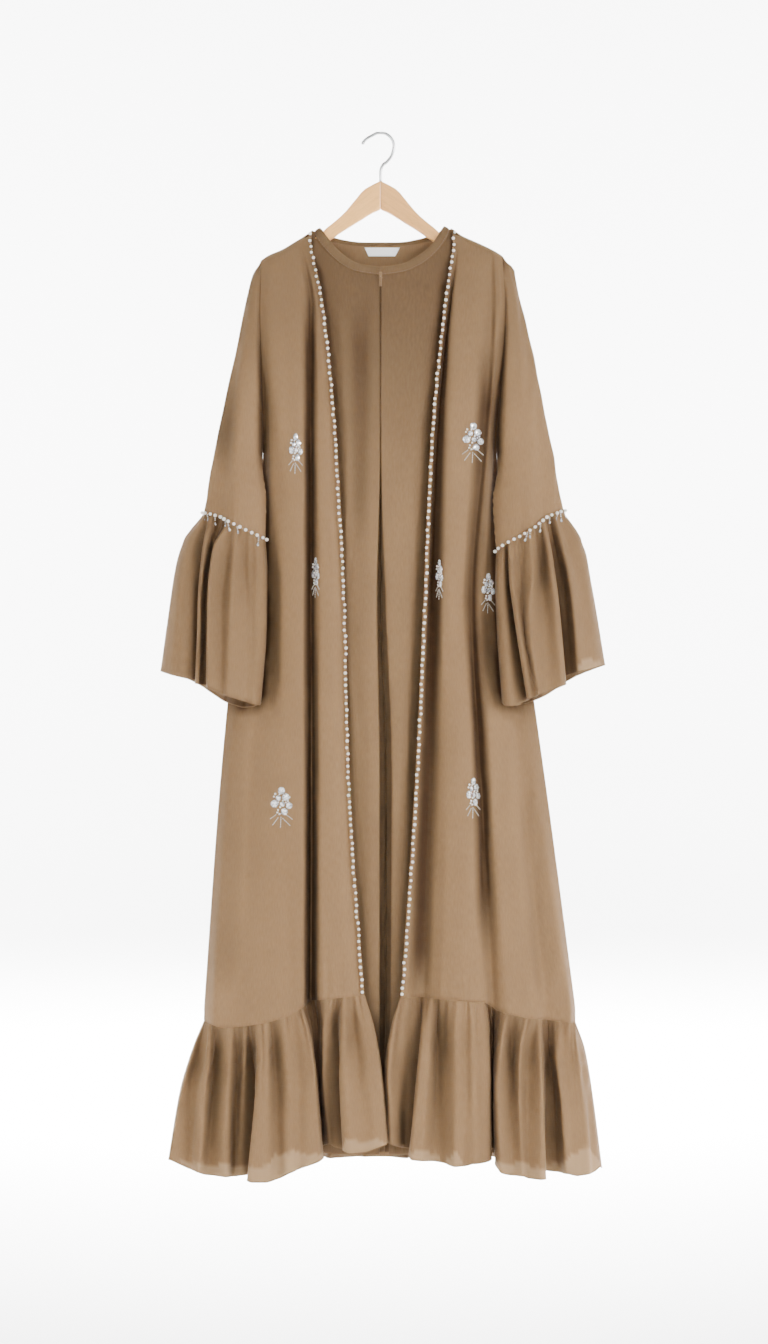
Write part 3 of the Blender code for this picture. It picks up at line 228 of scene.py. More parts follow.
# Flutes of a sleeve ruffle: place round the sleeve counted in its fold lines, x and depth
# near the seam, half way down and at the hem, drop of the hem, height of its single layer
Flute = namedtuple("Flute", "at x_near depth_near x_mid depth_mid x_hem depth_hem drop_hem single")
CUFF_FLUTES = {}
CUFF_FLUTES["left"] = rows_of(
    Flute,
    (0, -169, -24, -169.5, -26, -178, -30, 853, 0),
    (0.18, -171, -34, -171.5, -40, -179.5, -46, 856, 0),
    (1.02, -180.5, -40, -183, -50, -189, -58, 854.5, 0),
    (1.59, -202.5, -36, -198, -50, -197.5, -58, 851.5, 0),
    (1.96, -216, -50, -221, -62, -225.5, -66, 843, 0),
    (2.26, -228, -40, -236, -50, -236, -58, 839.5, 0),
    (2.48, -248.5, -48, -254.5, -60, -255, -62, 831.5, 0),
    (2.54, -250.5, -42, -257, -54, -257.5, -56, 829, 0),
    (2.7, -246.5, -30, -252, -38, -253.5, -40, 826.5, 0),
    (3.01, -251, -28, -259.5, -36, -261, -40, 826.5, 0),
    (3.36, -260, -40, -267, -48, -270, -50, 825, 0),
    (3.48, -264, -34, -271, -42, -274.5, -44, 823.5, 0),
    (3.56, -262, -22, -269, -28, -272, -28, 819.5, 0),
    (3.71, -274, -22, -279.5, -32, -282, -36, 818, 0),
    (3.83, -284, -24, -295.5, -34, -304.5, -36, 813, 0),
    (3.96, -293.5, -16, -310, -20, -323.5, -20, 807.5, 0),
    (4, -296.5, -8, -313, -8, -329.5, -8, 805.5, 0),
    (4.4, -276, 7, -297, 9, -311, 13, 810, 0),
    (4.8, -264, -4, -280, -5, -287, -3, 818, 0),
    (5.2, -252, 6, -264, 9, -269, 13, 828, 0),
    (5.6, -236, -8, -246, -9, -250, -9, 840, 0),
    (6, -220, -9, -229, -10, -233, -10, 851, 0),
    (6.4, -205, -18, -212, -22, -216, -25, 857, 0),
    (6.7, -190, -14, -195, -14, -204, -14, 860, 0),
    (6.9, -180, -20, -184, -22, -192, -24, 859, 0),
)
CUFF_FLUTES["right"] = rows_of(
    Flute,
    (0, 171.5, -26, 173.5, -28, 181, -32, 851.5, 0),
    (0.23, 173.5, -36, 176, -42, 183.5, -48, 856.5, 0),
    (0.84, 181.5, -40, 186.5, -50, 193.5, -56, 857.5, 0),
    (1.12, 189, -36, 197, -42, 213, -46, 851, 0),
    (1.23, 194, -28, 202, -32, 222.5, -36, 846.5, 0),
    (1.25, 191.5, -44, 198.5, -54, 218, -58, 847.5, 0),
    (1.38, 196, -50, 203.5, -62, 222.5, -68, 845.5, 0),
    (1.72, 209.5, -42, 211.5, -54, 228.5, -66, 843, 0),
    (2.22, 227, -52, 220.5, -66, 234, -72, 840, 0),
    (2.48, 239, -34, 242, -50, 248, -64, 836, 0),
    (2.8, 249.5, -46, 258.5, -60, 267, -66, 828.5, 0),
    (2.92, 253.5, -40, 264, -52, 275, -54, 824, 0),
    (2.97, 251.5, -22, 260, -28, 270.5, -30, 816, 0),
    (3.12, 260.5, -20, 273.5, -28, 283.5, -34, 810.5, 2),
    (3.39, 270.5, -32, 284.5, -44, 294.5, -48, 806.5, 7),
    (3.57, 280, -22, 295.5, -34, 308.5, -40, 803.5, 18),
    (3.77, 292.5, -20, 309.5, -26, 324.5, -28, 799.5, 6),
    (4, 301, -8, 317.5, -8, 336, -8, 796.5, 1),
    (4.4, 288, 7, 304, 9, 317, 13, 804, 0),
    (4.8, 274, -4, 288, -5, 296, -3, 812, 0),
    (5.2, 260, 6, 272, 9, 278, 13, 822, 0),
    (5.6, 244, -8, 255, -9, 260, -9, 834, 0),
    (6, 226, -9, 238, -10, 243, -10, 844, 0),
    (6.4, 210, -18, 220, -22, 225, -25, 851, 0),
    (6.7, 194, -14, 203, -14, 211, -14, 855, 0),
    (6.9, 183, -20, 190, -22, 200, -24, 857, 0),
)

# Flutes of a front hem ruffle: x at the seam, then as above
HEM_FLUTES = {}
HEM_FLUTES["left"] = rows_of(
    Flute,
    (-264.5, -281, -1, -300.5, -1, -318, -1, 1538, 1),
    (-263.2, -278, -14, -296, -28, -313.5, -34, 1533.5, 2),
    (-261, -270.5, -8, -283, -22, -283.5, -36, 1546.5, 9),
    (-254.2, -255.5, -30, -262, -48, -269, -54, 1549.5, 14),
    (-243.8, -247.5, -14, -250.5, -28, -255, -40, 1555, 15),
    (-222.8, -224, -34, -227.5, -52, -229, -58, 1555, 18),
    (-213.8, -213, -20, -214, -30, -216.5, -38, 1557, 16),
    (-201.8, -202.5, -32, -204.5, -36, -206, -38, 1555.5, 14),
    (-194.2, -190.5, -20, -184, -26, -191.5, -34, 1554.5, 12),
    (-183.8, -182.5, -44, -186.5, -62, -197.5, -66, 1558, 18),
    (-179.2, -177, -50, -179.5, -68, -188, -78, 1560, 23),
    (-168.8, -168.5, -50, -167.5, -66, -170, -78, 1560, 24),
    (-161.2, -158.5, -32, -153.5, -52, -153, -68, 1556.5, 36),
    (-143.2, -140.5, -44, -135.5, -64, -132, -76, 1546, 30),
    (-131.2, -125.5, -40, -120.5, -56, -116, -68, 1540, 22),
    (-119.2, -107.5, -48, -97.5, -62, -91, -68, 1531, 10),
    (-116.2, -104, -42, -93.5, -52, -85, -56, 1527, 4),
    (-108.8, -102, -24, -97.5, -26, -93, -28, 1519.5, 0),
    (-98.2, -93.5, -20, -92, -21, -86, -23, 1514.5, 0),
    (-80.2, -84, -40, -85.5, -44, -76.5, -46, 1508, 0),
    (-69.8, -73.5, -38, -73.5, -40, -67.5, -43, 1513, 0),
    (-59.2, -63.5, -31, -58, -35, -54, -42, 1516, 0),
    (-54.8, -58, -50, -60.5, -62, -56, -66, 1514.5, 2),
    (-50.2, -52, -54, -52.5, -68, -45, -76, 1518, 21),
    (-42.8, -40, -42, -32, -58, -24.5, -72, 1517, 16),
    (-32.2, -26, -52, -15.5, -66, -6.5, -74, 1511, 13),
    (-23.2, -14, -52, -2, -66, 7.5, -70, 1505.5, 4),
    (-22.5, -11, -48, 1.5, -58, 11, -62, 1503, 1),
)
HEM_FLUTES["right"] = rows_of(
    Flute,
    (28.5, 16.5, -48, 6.5, -54, 11, -56, 1504, 0),
    (30.8, 20, -52, 12.5, -60, 15.5, -62, 1506, 0),
    (35.2, 29, -44, 26, -50, 27.5, -54, 1511, 0),
    (45.8, 44, -36, 42.5, -39, 36.5, -44, 1514, 0),
    (59.2, 62, -31, 57.5, -35, 47, -42, 1516, 0),
    (65.2, 60, -46, 54, -60, 41.5, -66, 1521, 2),
    (69.8, 64.5, -52, 58.5, -68, 46.5, -76, 1527, 12),
    (77.2, 73.5, -52, 68, -68, 58.5, -76, 1528.5, 14),
    (85.5, 85, -28, 84, -44, 79.5, -58, 1531.5, 13),
    (96.8, 96, -36, 97, -52, 94, -62, 1533.5, 0),
    (111.8, 110.5, -52, 113, -68, 110, -80, 1536.5, 22),
    (126.8, 125.5, -48, 126.5, -64, 123.5, -76, 1536, 4),
    (134.2, 136, -52, 136, -68, 138, -78, 1532.5, 0),
    (144.8, 146.5, -46, 149, -60, 150, -70, 1532.5, 0),
    (154.5, 160.5, -40, 163.5, -50, 164.5, -56, 1528.5, 0),
    (159.8, 163.5, -22, 162.5, -26, 163, -30, 1519.5, 0),
    (167.2, 169, -18, 167, -22, 169.5, -26, 1517, 0),
    (179.2, 173.5, -40, 168.5, -52, 171, -56, 1536, 3),
    (184.5, 179, -48, 174.5, -62, 178, -72, 1546.5, 15),
    (194.2, 194.5, -28, 194.5, -46, 196, -68, 1551, 18),
    (216.8, 208.5, -46, 205, -62, 209, -76, 1551, 20),
    (227.2, 222.5, -34, 217.5, -52, 219.5, -70, 1555, 19),
    (237.8, 237, -48, 238, -66, 236.5, -80, 1555.5, 18),
    (240.8, 241, -42, 242, -58, 244.5, -70, 1555, 12),
    (243.8, 245.5, -26, 246.5, -32, 242, -38, 1548, 10),
    (249.8, 251.5, -20, 258.5, -28, 262.5, -36, 1550.5, 12),
    (263.2, 262, -38, 268, -50, 276.5, -58, 1550.5, 20),
    (278.2, 278, -32, 283, -44, 291.5, -54, 1554, 33),
    (288.8, 292.5, -34, 299.5, -44, 309.5, -50, 1552, 42),
    (290.7, 297.5, -24, 306, -32, 318, -36, 1550.5, 28),
    (291.6, 303.5, -14, 314.5, -20, 327.5, -22, 1546, 8),
    (292, 306.5, -1, 318, -1, 332, -1, 1550.5, 1),
)

# The seam above the hem ruffles, at the front: x, drop
HEM_SEAM = (
    (-264.5, 1330), (-230, 1338), (-202, 1334), (-170, 1328), (-138, 1318), (-118, 1306),
    (-100, 1296), (-76, 1292), (-22, 1287), (29, 1290), (113, 1294.5), (150, 1297),
    (176, 1311), (206, 1318.5), (250, 1326), (292, 1331.5),
)
BACK_SEAM_DROP = 1334.0
BACK_HEM_DROP = 1541.0
BACK_FLUTES = 13
BACK_UNEVEN = 0.35       # how far a flute wanders, as a share of half its width
BACK_HOLLOW = 37.0       # depth of the valleys between the flutes
BACK_RIDGE = 28.0        # how much deeper the ridges lie
BACK_SWELL = 7.0         # how much the depths differ
BACK_RISE = 9.0          # how fast the flutes deepen in from the side seams
BACK_SIDE_RAISED = 2.0   # how much the hem rises to the side seams
BACK_RAISE_ENDS = 6.0    # how fast that rise dies out
BACK_RIDGE_LOWER = 2.5   # how much lower a ridge hangs
BACK_END_LEFT = Flute(-264.5, -282, 1, -301, 1, -318, 1, 1538, 0)
BACK_END_RIGHT = Flute(292, 304, 1, 316, 1, 332, 1, 1550.5, 0)

# Raised bouquets: the front that each lies on, x and drop of its centre, and its seen width
Bouquet = namedtuple("Bouquet", "name side x drop width")
BOUQUETS = rows_of(
    Bouquet,
    ("motif_chest_left", "left", -127, 482, 20),
    ("motif_chest_right", "right", 137, 466, 31),
    ("motif_waist_left", "left", -96.5, 667, 11),
    ("motif_waist_right", "right", 88, 670, 10),
    ("motif_hip_right", "right", 160, 690, 20),
    ("motif_skirt_left", "left", -148, 1009, 32),
    ("motif_skirt_right", "right", 137, 995, 20),
)

# The hanger: an arm's outline as x and drop, the wire's thickness and its way round
WOOD = 11.0
WIRE = 3.5
ARM_OUTLINE = (
    (0, 70.5), (-13, 77), (-26, 84.5), (-40, 102), (-55, 120), (-70, 133), (-82, 142),
    (-91, 151.5), (-103, 158), (-121, 166.5), (-148, 181.5), (-162, 189), (-172, 198),
    (-173, 205), (-166, 209), (-150, 203), (-125, 190), (-100, 175), (-73, 158),
    (-61, 149), (-31, 130.5), (-14, 119.5), (0, 113.5),
)
HOOK_SHANK = ((0, 70.2), (0, 58), (3, 47), (9.5, 42), (17.5, 30))
HOOK_RADIUS = 20.0

# The scale of drops on which every panel is first worked out
DROP_SCALE = np.arange(130.0, 1640.0, 2.0)
SHOULDER_STEPS = (0.0, 0.4, 1.2, 2.5, 4.5, 7.0, 10.0, 15.0, 22.0)


def size_property(name, description, default, low, high):
    return bpy.props.FloatProperty(name=name, description=description, default=default, min=low,
                                   max=high, unit="LENGTH", precision=4)


def colour_property(name, description, default):
    return bpy.props.FloatVectorProperty(name=name, description=description, default=default,
                                         size=3, min=0.0, max=1.0, subtype="COLOR")


class AbayaSizes(bpy.types.PropertyGroup):
    """Sizes that a user may change, in metres."""

    cloth: size_property("Cloth", "Thickness of the cloth", 0.001, 0.0003, 0.002)
    crease: size_property("Creases", "Height of the soft creases", 0.0009, 0.0, 0.003)
    gather: size_property("Gathers", "Height of the gathers below a seam", 0.0016, 0.0, 0.004)
    pearl: size_property("Pearl", "Diameter of the large pearls", 0.0049, 0.002, 0.008)
    bead: size_property("Bead", "Diameter of the small beads", 0.0025, 0.001, 0.005)
    pearl_step: size_property("Spacing", "From one pearl or bead to the next", 0.0046, 0.003, 0.02)
    stitch: size_property("Stitch", "Length of a stitch", 0.0026, 0.001, 0.006)


class AbayaColours(bpy.types.PropertyGroup):
    """Colours that a user may change."""

    cloth: colour_property("Cloth", "Colour of the cloth", (0.236, 0.139, 0.067))
    # Painted light: the sheer hem's colour is lighter than the cloth, for light that passes through
    # its single layer
    sheer: colour_property("Sheer hem", "Colour of a single layer of cloth", (0.34, 0.213, 0.112))
    pearl: colour_property("Pearls", "Colour of the pearls", (0.86, 0.81, 0.73))
    crystal: colour_property("Crystals", "Colour of the crystals", (0.95, 0.95, 0.96))
    silver: colour_property("Bugle beads", "Colour of the bugle beads", (0.58, 0.52, 0.44))
    wood: colour_property("Wood", "Colour of the hanger's wood", (0.90, 0.44, 0.12))
    chrome: colour_property("Hook", "Colour of the hook", (0.62, 0.62, 0.63))
    label: colour_property("Label", "Colour of the label", (0.98, 0.98, 0.97))
    zip: colour_property("Zip", "Colour of the zip's slider and pull", (0.20, 0.125, 0.07))
    floor: colour_property("Floor", "Colour of the floor and backdrop", (0.94, 0.94, 0.94))


def sizes():
    return bpy.context.scene.abaya_sizes


def colours():
    return bpy.context.scene.abaya_colours


# Curves and grids. A grid is an array of points in millimetres, as x, y, z, with a row for
# each place across the cloth and a column for each step down it.


def curve_through(knots, values, at):
    """Smooth curves through the values with no overshoot, flat beyond their ends."""
    knots = np.asarray(knots, float)
    values = np.asarray(values, float)
    at = np.clip(np.asarray(at, float), knots[0], knots[-1])
    tail = (1,) * (values.ndim - 1)
    slopes = np.diff(values, axis=0) / np.diff(knots).reshape((-1,) + tail)
    before, after = slopes[:-1], slopes[1:]
    total = np.where(before + after == 0, 1.0, before + after)
    middle = np.where(before * after > 0, 2 * before * after / total, 0.0)
    tangents = np.concatenate([slopes[:1], middle, slopes[-1:]])
    index = np.clip(np.searchsorted(knots, at, "right") - 1, 0, len(knots) - 2)
    step = (knots[index + 1] - knots[index]).reshape((-1,) + tail)
    share = ((at - knots[index]).reshape((-1,) + tail)) / step
    low, high = values[index], values[index + 1]
    rise = high - low
    start, end = tangents[index] * step, tangents[index + 1] * step
    return (low + start * share + (3 * rise - 2 * start - end) * share ** 2
            + (start + end - 2 * rise) * share ** 3)


def line_at(pairs, x):
    """Drops at the given x along a line of pairs of x and drop."""
    knots, drops = zip(*sorted(pairs))
    return curve_through(knots, drops, np.atleast_1d(x))


def places_over(count, between):
    """Places counted in fold lines, with steps between one line and the next."""
    return np.linspace(0, count - 1, (count - 1) * between + 1)


def spread(folds, drops, places):
    """x and depth over the scale of drops, a row for each place."""
    made = []
    for field in ("x", "depth"):
        lines = np.array([getattr(fold, field) for fold in folds], float).T
        rows = curve_through(drops, lines, DROP_SCALE).T
        made.append(curve_through(range(len(folds)), rows, places))
    return made


def read_at(rows, drops):
    """Values of each row of the scale at that row's own drops."""
    return np.array([np.interp(at, DROP_SCALE, row) for at, row in zip(drops, rows)])


def level_at(rows, drop):
    """Values of all rows of the scale at one drop."""
    return read_at(rows, [drop] * len(rows))


def from_ends(places):
    """How many fold lines each place is from the nearer end of its panel."""
    return np.minimum(places, places[-1] - places)[:, None]


def unit(vectors):
    """The same directions, each of length 1."""
    return vectors / np.maximum(np.linalg.norm(vectors, axis=-1, keepdims=True), 1e-9)


def points_at(at, knots, points):
    """Points of a line where its knots' scale reads the given values."""
    return np.stack([np.interp(at, knots, points[:, k]) for k in range(3)], axis=-1)


def hang(x_rows, depth_rows, drops):
    return np.stack([read_at(x_rows, drops), read_at(depth_rows, drops), -drops], axis=-1)


def rolled(distance):
    """How far the cloth has turned over the hanger, from 0 on the shoulder line to 1."""
    left = 1 - np.clip(distance / ROLL, 0, 1)
    return np.sqrt(1 - left * left)


def steps_down(top, bottom, spacing, first=(0.0,)):
    """Drops of the steps of each row of a grid, close together near its top."""
    length = bottom - top
    count = int(math.ceil((length.max() - first[-1]) / spacing))
    shares = np.linspace(0, 1, count + 1)[1:]
    head = np.array(first)
    rest = head[-1] + (length[:, None] - head[-1]) * shares
    return top[:, None] + np.concatenate([np.tile(head, (len(top), 1)), rest], axis=1)


def facing(grid, outward):
    """Unit normals of a grid, on the side that the outward directions point to."""
    across = np.gradient(grid, axis=0)
    down = np.gradient(grid, axis=1)
    normal = unit(np.cross(across, down))
    return normal if (normal * outward).sum() > 0 else -normal


def from_axis(grid):
    """Directions from the middle of each level of a tube to its wall."""
    return grid - grid.mean(axis=0, keepdims=True)


TOWARDS_VIEWER = np.array([0.0, -1.0, 0.0])
AWAY = np.array([0.0, 1.0, 0.0])


def run_across(points):
    """Distance along lines of points, or across cloth, in millimetres."""
    steps = np.linalg.norm(np.diff(points, axis=0), axis=-1)
    return np.concatenate([np.zeros_like(steps[:1]), np.cumsum(steps, axis=0)])


def run_down(grid):
    """Distance down the cloth at each point, in millimetres."""
    return run_across(grid.transpose(1, 0, 2)).T


def creases(across, down, seed, lengths=(24.0, 70.0), reach=(260.0, 700.0), count=7):
    """Soft creases that run down the cloth, from about -1 to 1."""
    rng = random.Random(seed)
    total = np.zeros_like(across)
    for _ in range(count):
        wave = 2 * math.pi * across / rng.uniform(*lengths)
        sway = rng.uniform(0.5, 1.6)
        bend = sway * np.sin(2 * math.pi * (down / rng.uniform(*reach) + rng.random()))
        total += rng.uniform(0.5, 1.0) * np.sin(wave + bend + rng.uniform(0, 2 * math.pi))
    return total / math.sqrt(count)


# Gathers below a seam: their width and how far down they die out, in millimetres, and share
GATHERS = ((6.0, 12.0, 0.45), (9.0, 26.0, 0.7), (14.0, 60.0, 0.9))
STITCHED = 2.5         # how far below a seam the gathers have opened


def gathered(across, below, seed):
    """Gathers that fan out below a seam, from about -1 to 1."""
    rng = random.Random(seed)
    total = np.zeros_like(below)
    for width, reach, share in GATHERS:
        shift = 0.35 * np.sin(2 * math.pi * (across / (width * 5.3) + rng.random()))
        wave = np.sin(2 * math.pi * (across / width + shift + rng.random()))
        total += share * wave * np.exp(-below / reach)
    return total * (1 - np.exp(-below / STITCHED))


def ease(share):
    share = np.clip(share, 0, 1)
    return share * share * (3 - 2 * share)


# Meshes


def deselect_all():
    for item in bpy.context.selected_objects:
        item.select_set(False)


def make_object(name, data, place=(0, 0, 0), turn=(0, 0, 0)):
    data.name = name
    made = bpy.data.objects.new(name, data)
    bpy.context.scene.collection.objects.link(made)
    made.location, made.rotation_euler = place, turn
    return made


def select_only(made):
    deselect_all()
    made.select_set(True)
    bpy.context.view_layer.objects.active = made


def apply_modifier(made, name):
    select_only(made)
    bpy.ops.object.modifier_apply(modifier=name)


def coat(made, material):
    made.data.materials.clear()
    made.data.materials.append(material)


def give(made, material, replaced=()):
    """Set a piece's material, slot and body, and the CAD nodes that it stands for."""
    coat(made, material)
    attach(made, GARMENT)
    if replaced:
        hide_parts(*replaced)


def quads(places, steps, base=0):
    """Faces between the points of a grid."""
    numbers = base + np.arange(places * steps).reshape(places, steps)
    corners = (numbers[:-1, :-1], numbers[:-1, 1:], numbers[1:, 1:], numbers[1:, :-1])
    return np.stack(corners, axis=-1).reshape(-1, 4)


def set_measure(mesh, name, values):
    mesh.attributes.new(name, "FLOAT", "POINT").data.foreach_set("value", values)


def sheet_mesh(name, grid, outward):
    """A single surface on a grid, with a UV map in metres along the cloth."""
    places, steps = grid.shape[:2]
    faces = quads(places, steps)
    normal = facing(grid, outward)
    raw = np.cross(np.gradient(grid, axis=1), np.gradient(grid, axis=0))
    if (raw * normal).sum() < 0:
        faces = faces[:, ::-1]
    mesh = bpy.data.meshes.new(name)
    mesh.from_pydata((grid.reshape(-1, 3) * MM).tolist(), [], faces.tolist())
    middle = grid.shape[1] * 3 // 5
    u = np.repeat(run_across(grid)[:, middle:middle + 1], steps, axis=1)
    v = np.repeat(run_down(grid)[places // 2][None, :], places, axis=0)
    flat = np.stack([u, -v], axis=-1).reshape(-1, 2) * MM
    layer = mesh.uv_layers.new(name="cloth")
    layer.data.foreach_set("uv", flat[faces.reshape(-1)].reshape(-1))
    return mesh


def wall(name, grid, outward, thickness, **measures):
    """A thin wall of cloth on a grid, with measures at its points. A tube's edges are joined."""
    mesh = sheet_mesh(name, grid, outward)
    for measure, values in measures.items():
        set_measure(mesh, measure, values.reshape(-1))
    bm = bmesh.new()
    bm.from_mesh(mesh)
    bmesh.ops.remove_doubles(bm, verts=bm.verts, dist=0.00001)
    bmesh.ops.dissolve_degenerate(bm, edges=bm.edges, dist=0.000005)
    bm.to_mesh(mesh)
    bm.free()
    made = make_object(name, mesh)
    solid = made.modifiers.new("wall", "SOLIDIFY")
    solid.thickness = thickness
    solid.offset = 0.0
    apply_modifier(made, "wall")
    mesh.shade_smooth()
    return made


def cloth_piece(name, grid, outward, node, **measures):
    # Painted shade: how closed-in each point is, with the painted shades of its panel, darkens the
    # cloth's colour
    hollow = painted_fold_shade(grid, outward)
    if "ruffle" in name:
        hollow = drawn_to_seam(hollow)
    if name.startswith("under_front"):
        hollow = np.minimum(hollow, MOST_PAINTED_SHADE_IN_PLEAT)
    hollow = 1 - (1 - hollow) * (1 - shaded(name, grid))
    made = wall(name, grid, outward, sizes().cloth, hollow=hollow, **measures)
    give(made, cloth_material(), (node,))
    return made


# For the painted shade in folds, how closed-in the cloth is: rays from each point, as angle from
# its normal, number and weight
RAY_RINGS = ((18, 5, 1.0), (42, 8, 1.2), (66, 11, 0.75))
RAY_REACH = 110.0
RAY_START = 1.6
RAY_SKIP = 2


def ray_directions():
    """Directions round the Z axis and their weights."""
    made = []
    for angle, count, weight in RAY_RINGS:
        tilt = math.radians(angle)
        for i in range(count):
            turn = 2 * math.pi * (i + 0.37 * angle) / count
            made.append((math.sin(tilt) * math.cos(turn), math.sin(tilt) * math.sin(turn),
                         math.cos(tilt), weight / count))
    return np.array(made)


@functools.lru_cache(maxsize=None)
def all_cloth():
    """Every panel's surface in one tree, for finding what stands near a point."""
    grids = [back_grid(), back_hem_grid()]
    for side in SIDES:
        for panel_grid in (front_grid, inner_grid, sleeve_grid, cuff_grid, hem_grid):
            grids.append(panel_grid(side))
    points, faces, base = [], [], 0
    for grid in grids:
        faces += quads(*grid.shape[:2], base).tolist()
        points += grid.reshape(-1, 3).tolist()
        base = len(points)
    return BVHTree.FromPolygons(points, faces)


def painted_fold_shade(grid, outward):
    """Painted shade from how much cloth stands in front of each point, from 0 in the open to 1 in a
    deep fold.
    """
    rays = ray_directions()
    tree = all_cloth()
    rows, steps = (np.unique([*range(0, count, RAY_SKIP), count - 1]) for count in grid.shape[:2])
    normals = facing(grid, outward)[np.ix_(rows, steps)]
    points = grid[np.ix_(rows, steps)] + normals * RAY_START
    side = unit(np.cross(normals, [0.0, 0.0, 1.0]))
    rise = np.cross(side, normals)
    few = np.zeros(points.shape[:2])
    for x, y, z, weight in rays:
        directions = side * x + rise * y + normals * z
        for i in range(points.shape[0]):
            for j in range(points.shape[1]):
                hit = tree.ray_cast(Vector(points[i, j]), Vector(directions[i, j]), RAY_REACH)
                if hit[3] is not None:
                    few[i, j] += weight * (1 - hit[3] / RAY_REACH)
    few /= rays[:, 3].sum()
    along = np.array([np.interp(range(grid.shape[1]), steps, row) for row in few])
    return np.array([np.interp(range(grid.shape[0]), rows, column) for column in along.T]).T


# Painted shade for broad soft folds, which show only as this shade: panel, half width at each end,
# strength, and the drop and x of its line
Shade = namedtuple("Shade", "panel width strength line")
SHADES = (
    Shade("outer_front_right", (9, 16), 0.52, (
        (240, 98), (400, 88), (549, 86), (700, 82), (850, 75), (1075, 64), (1225, 59), (1330, 56))),
    Shade("outer_front_right", (12, 14), 0.42, (
        (300, 160), (400, 157), (480, 150), (700, 137), (850, 147), (1075, 152), (1250, 156))),
    Shade("outer_front_left", (8, 6), 0.26, ((220, -109), (400, -107), (700, -105), (900, -106))),
    Shade("outer_front_left", (24, 34), 0.20, ((700, -214), (1350, -240))),
    Shade("outer_front_right", (24, 34), 0.17, ((700, 214), (1350, 246))),
    Shade("under_front_left", (14, 12), 0.16, ((230, -30), (400, -30), (650, -32))),
    Shade("wide_sleeve_left", (16, 16), 0.30, ((330, -222), (444, -232), (560, -236))),
)
# Painted shade: darker over the chest and shoulders, fading out below, and added all over some
# panels
UPPER_SHADE = 0.25     # the chest and shoulders lie a little in the shade
PANEL_SHADES = {"under_front": 0.17, "cuff_ruffle": 0.16, "skirt_ruffle": 0.10}


def shaded(name, grid):
    """The share of painted shade at each point of a panel."""
    x, drop = grid[..., 0], -grid[..., 2]
    share = UPPER_SHADE * (1 - ease((drop - 200) / 420))
    for start, more in PANEL_SHADES.items():
        if name.startswith(start):
            share = share + more
    for shade in SHADES:
        if shade.panel == name:
            drops, middles = zip(*shade.line)
            lies = ease((drop - drops[0]) / 120) * ease((drops[-1] - drop) / 120)
            width = np.interp(drop, (drops[0], drops[-1]), shade.width)
            away = (x - np.interp(drop, drops, middles)) / width
            share = share + shade.strength * lies * np.exp(-np.abs(away) ** 3)
    return np.clip(share, 0, 1)


# Painted shade in the ruffles and the pleat: the share of it that a ruffle keeps, and the most that
# a ruffle or the pleat gets
RUFFLE_PAINTED_SHADE_KEPT = 0.80   # how much of a fold's shade a light ruffle keeps
MOST_PAINTED_SHADE_IN_RUFFLE = 0.38
MOST_PAINTED_SHADE_IN_PLEAT = 0.26


def drawn_to_seam(hollow):
    """The painted shade of a ruffle's folds, drawn up to the seam that gathers them."""
    first = int(hollow.shape[1] * 0.3)
    below = hollow[:, first][:, None] * np.linspace(0.62, 1.0, first)
    made = hollow.copy()
    made[:, :first] = np.maximum(made[:, :first] * 0.75, below)
    for _ in range(3):
        made[1:-1] = (made[:-2] + 2 * made[1:-1] + made[2:]) / 4
        made[:, 1:-1] = (made[:, :-2] + 2 * made[:, 1:-1] + made[:, 2:]) / 4
    return np.minimum(made * RUFFLE_PAINTED_SHADE_KEPT, MOST_PAINTED_SHADE_IN_RUFFLE)


def tube(name, points, radius, sides=6, closed=False):
    """A thin tube along points in millimetres."""
    points = np.asarray(points, float)
    if closed:
        run = unit(np.roll(points, -1, axis=0) - np.roll(points, 1, axis=0))
    else:
        run = unit(np.gradient(points, axis=0))
    aside = np.where(np.abs(run[:, 2:]) > 0.9, [[1.0, 0.0, 0.0]], [[0.0, 0.0, 1.0]])
    side = unit(np.cross(run, aside))
    up = np.cross(side, run)
    angles = np.linspace(0, 2 * math.pi, sides, endpoint=False)
    across, rise = np.cos(angles)[None, :, None], np.sin(angles)[None, :, None]
    ring = side[:, None] * across + up[:, None] * rise
    verts = (points[:, None] + ring * radius).reshape(-1, 3)
    faces = []
    for i in range(len(points) if closed else len(points) - 1):
        low, high = i * sides, ((i + 1) % len(points)) * sides
        for j in range(sides):
            after = (j + 1) % sides
            faces.append((low + j, high + j, high + after, low + after))
    if not closed:
        faces.append(tuple(range(sides)))
        faces.append(tuple(range((len(points) - 1) * sides, len(points) * sides))[::-1])
    mesh = bpy.data.meshes.new(name)
    mesh.from_pydata((verts * MM).tolist(), [], faces)
    face_out(mesh)
    mesh.shade_smooth()
    return make_object(name, mesh)


def face_out(mesh):
    bm = bmesh.new()
    bm.from_mesh(mesh)
    bmesh.ops.recalc_face_normals(bm, faces=bm.faces)
    bm.to_mesh(mesh)
    bm.free()


@functools.lru_cache(maxsize=None)
def bead_shape():
    """Corners and faces of one round bead of radius 1."""
    deselect_all()
    bpy.ops.mesh.primitive_ico_sphere_add(subdivisions=2, radius=1.0)
    return taken_shape()


@functools.lru_cache(maxsize=None)
def drop_shape():
    """Corners and faces of one drop bead, from its point at 0 to its round end at -1."""
    deselect_all()
    bpy.ops.mesh.primitive_uv_sphere_add(segments=8, ring_count=6, radius=0.5,
                                         location=(0, 0, -0.5))
    verts, faces = taken_shape()
    narrowing = np.clip((-verts[:, 2]) ** 0.8, 0.12, 1)
    verts[:, :2] *= (0.75 * narrowing)[:, None]
    return verts, faces


CRYSTAL_SIDES = 10


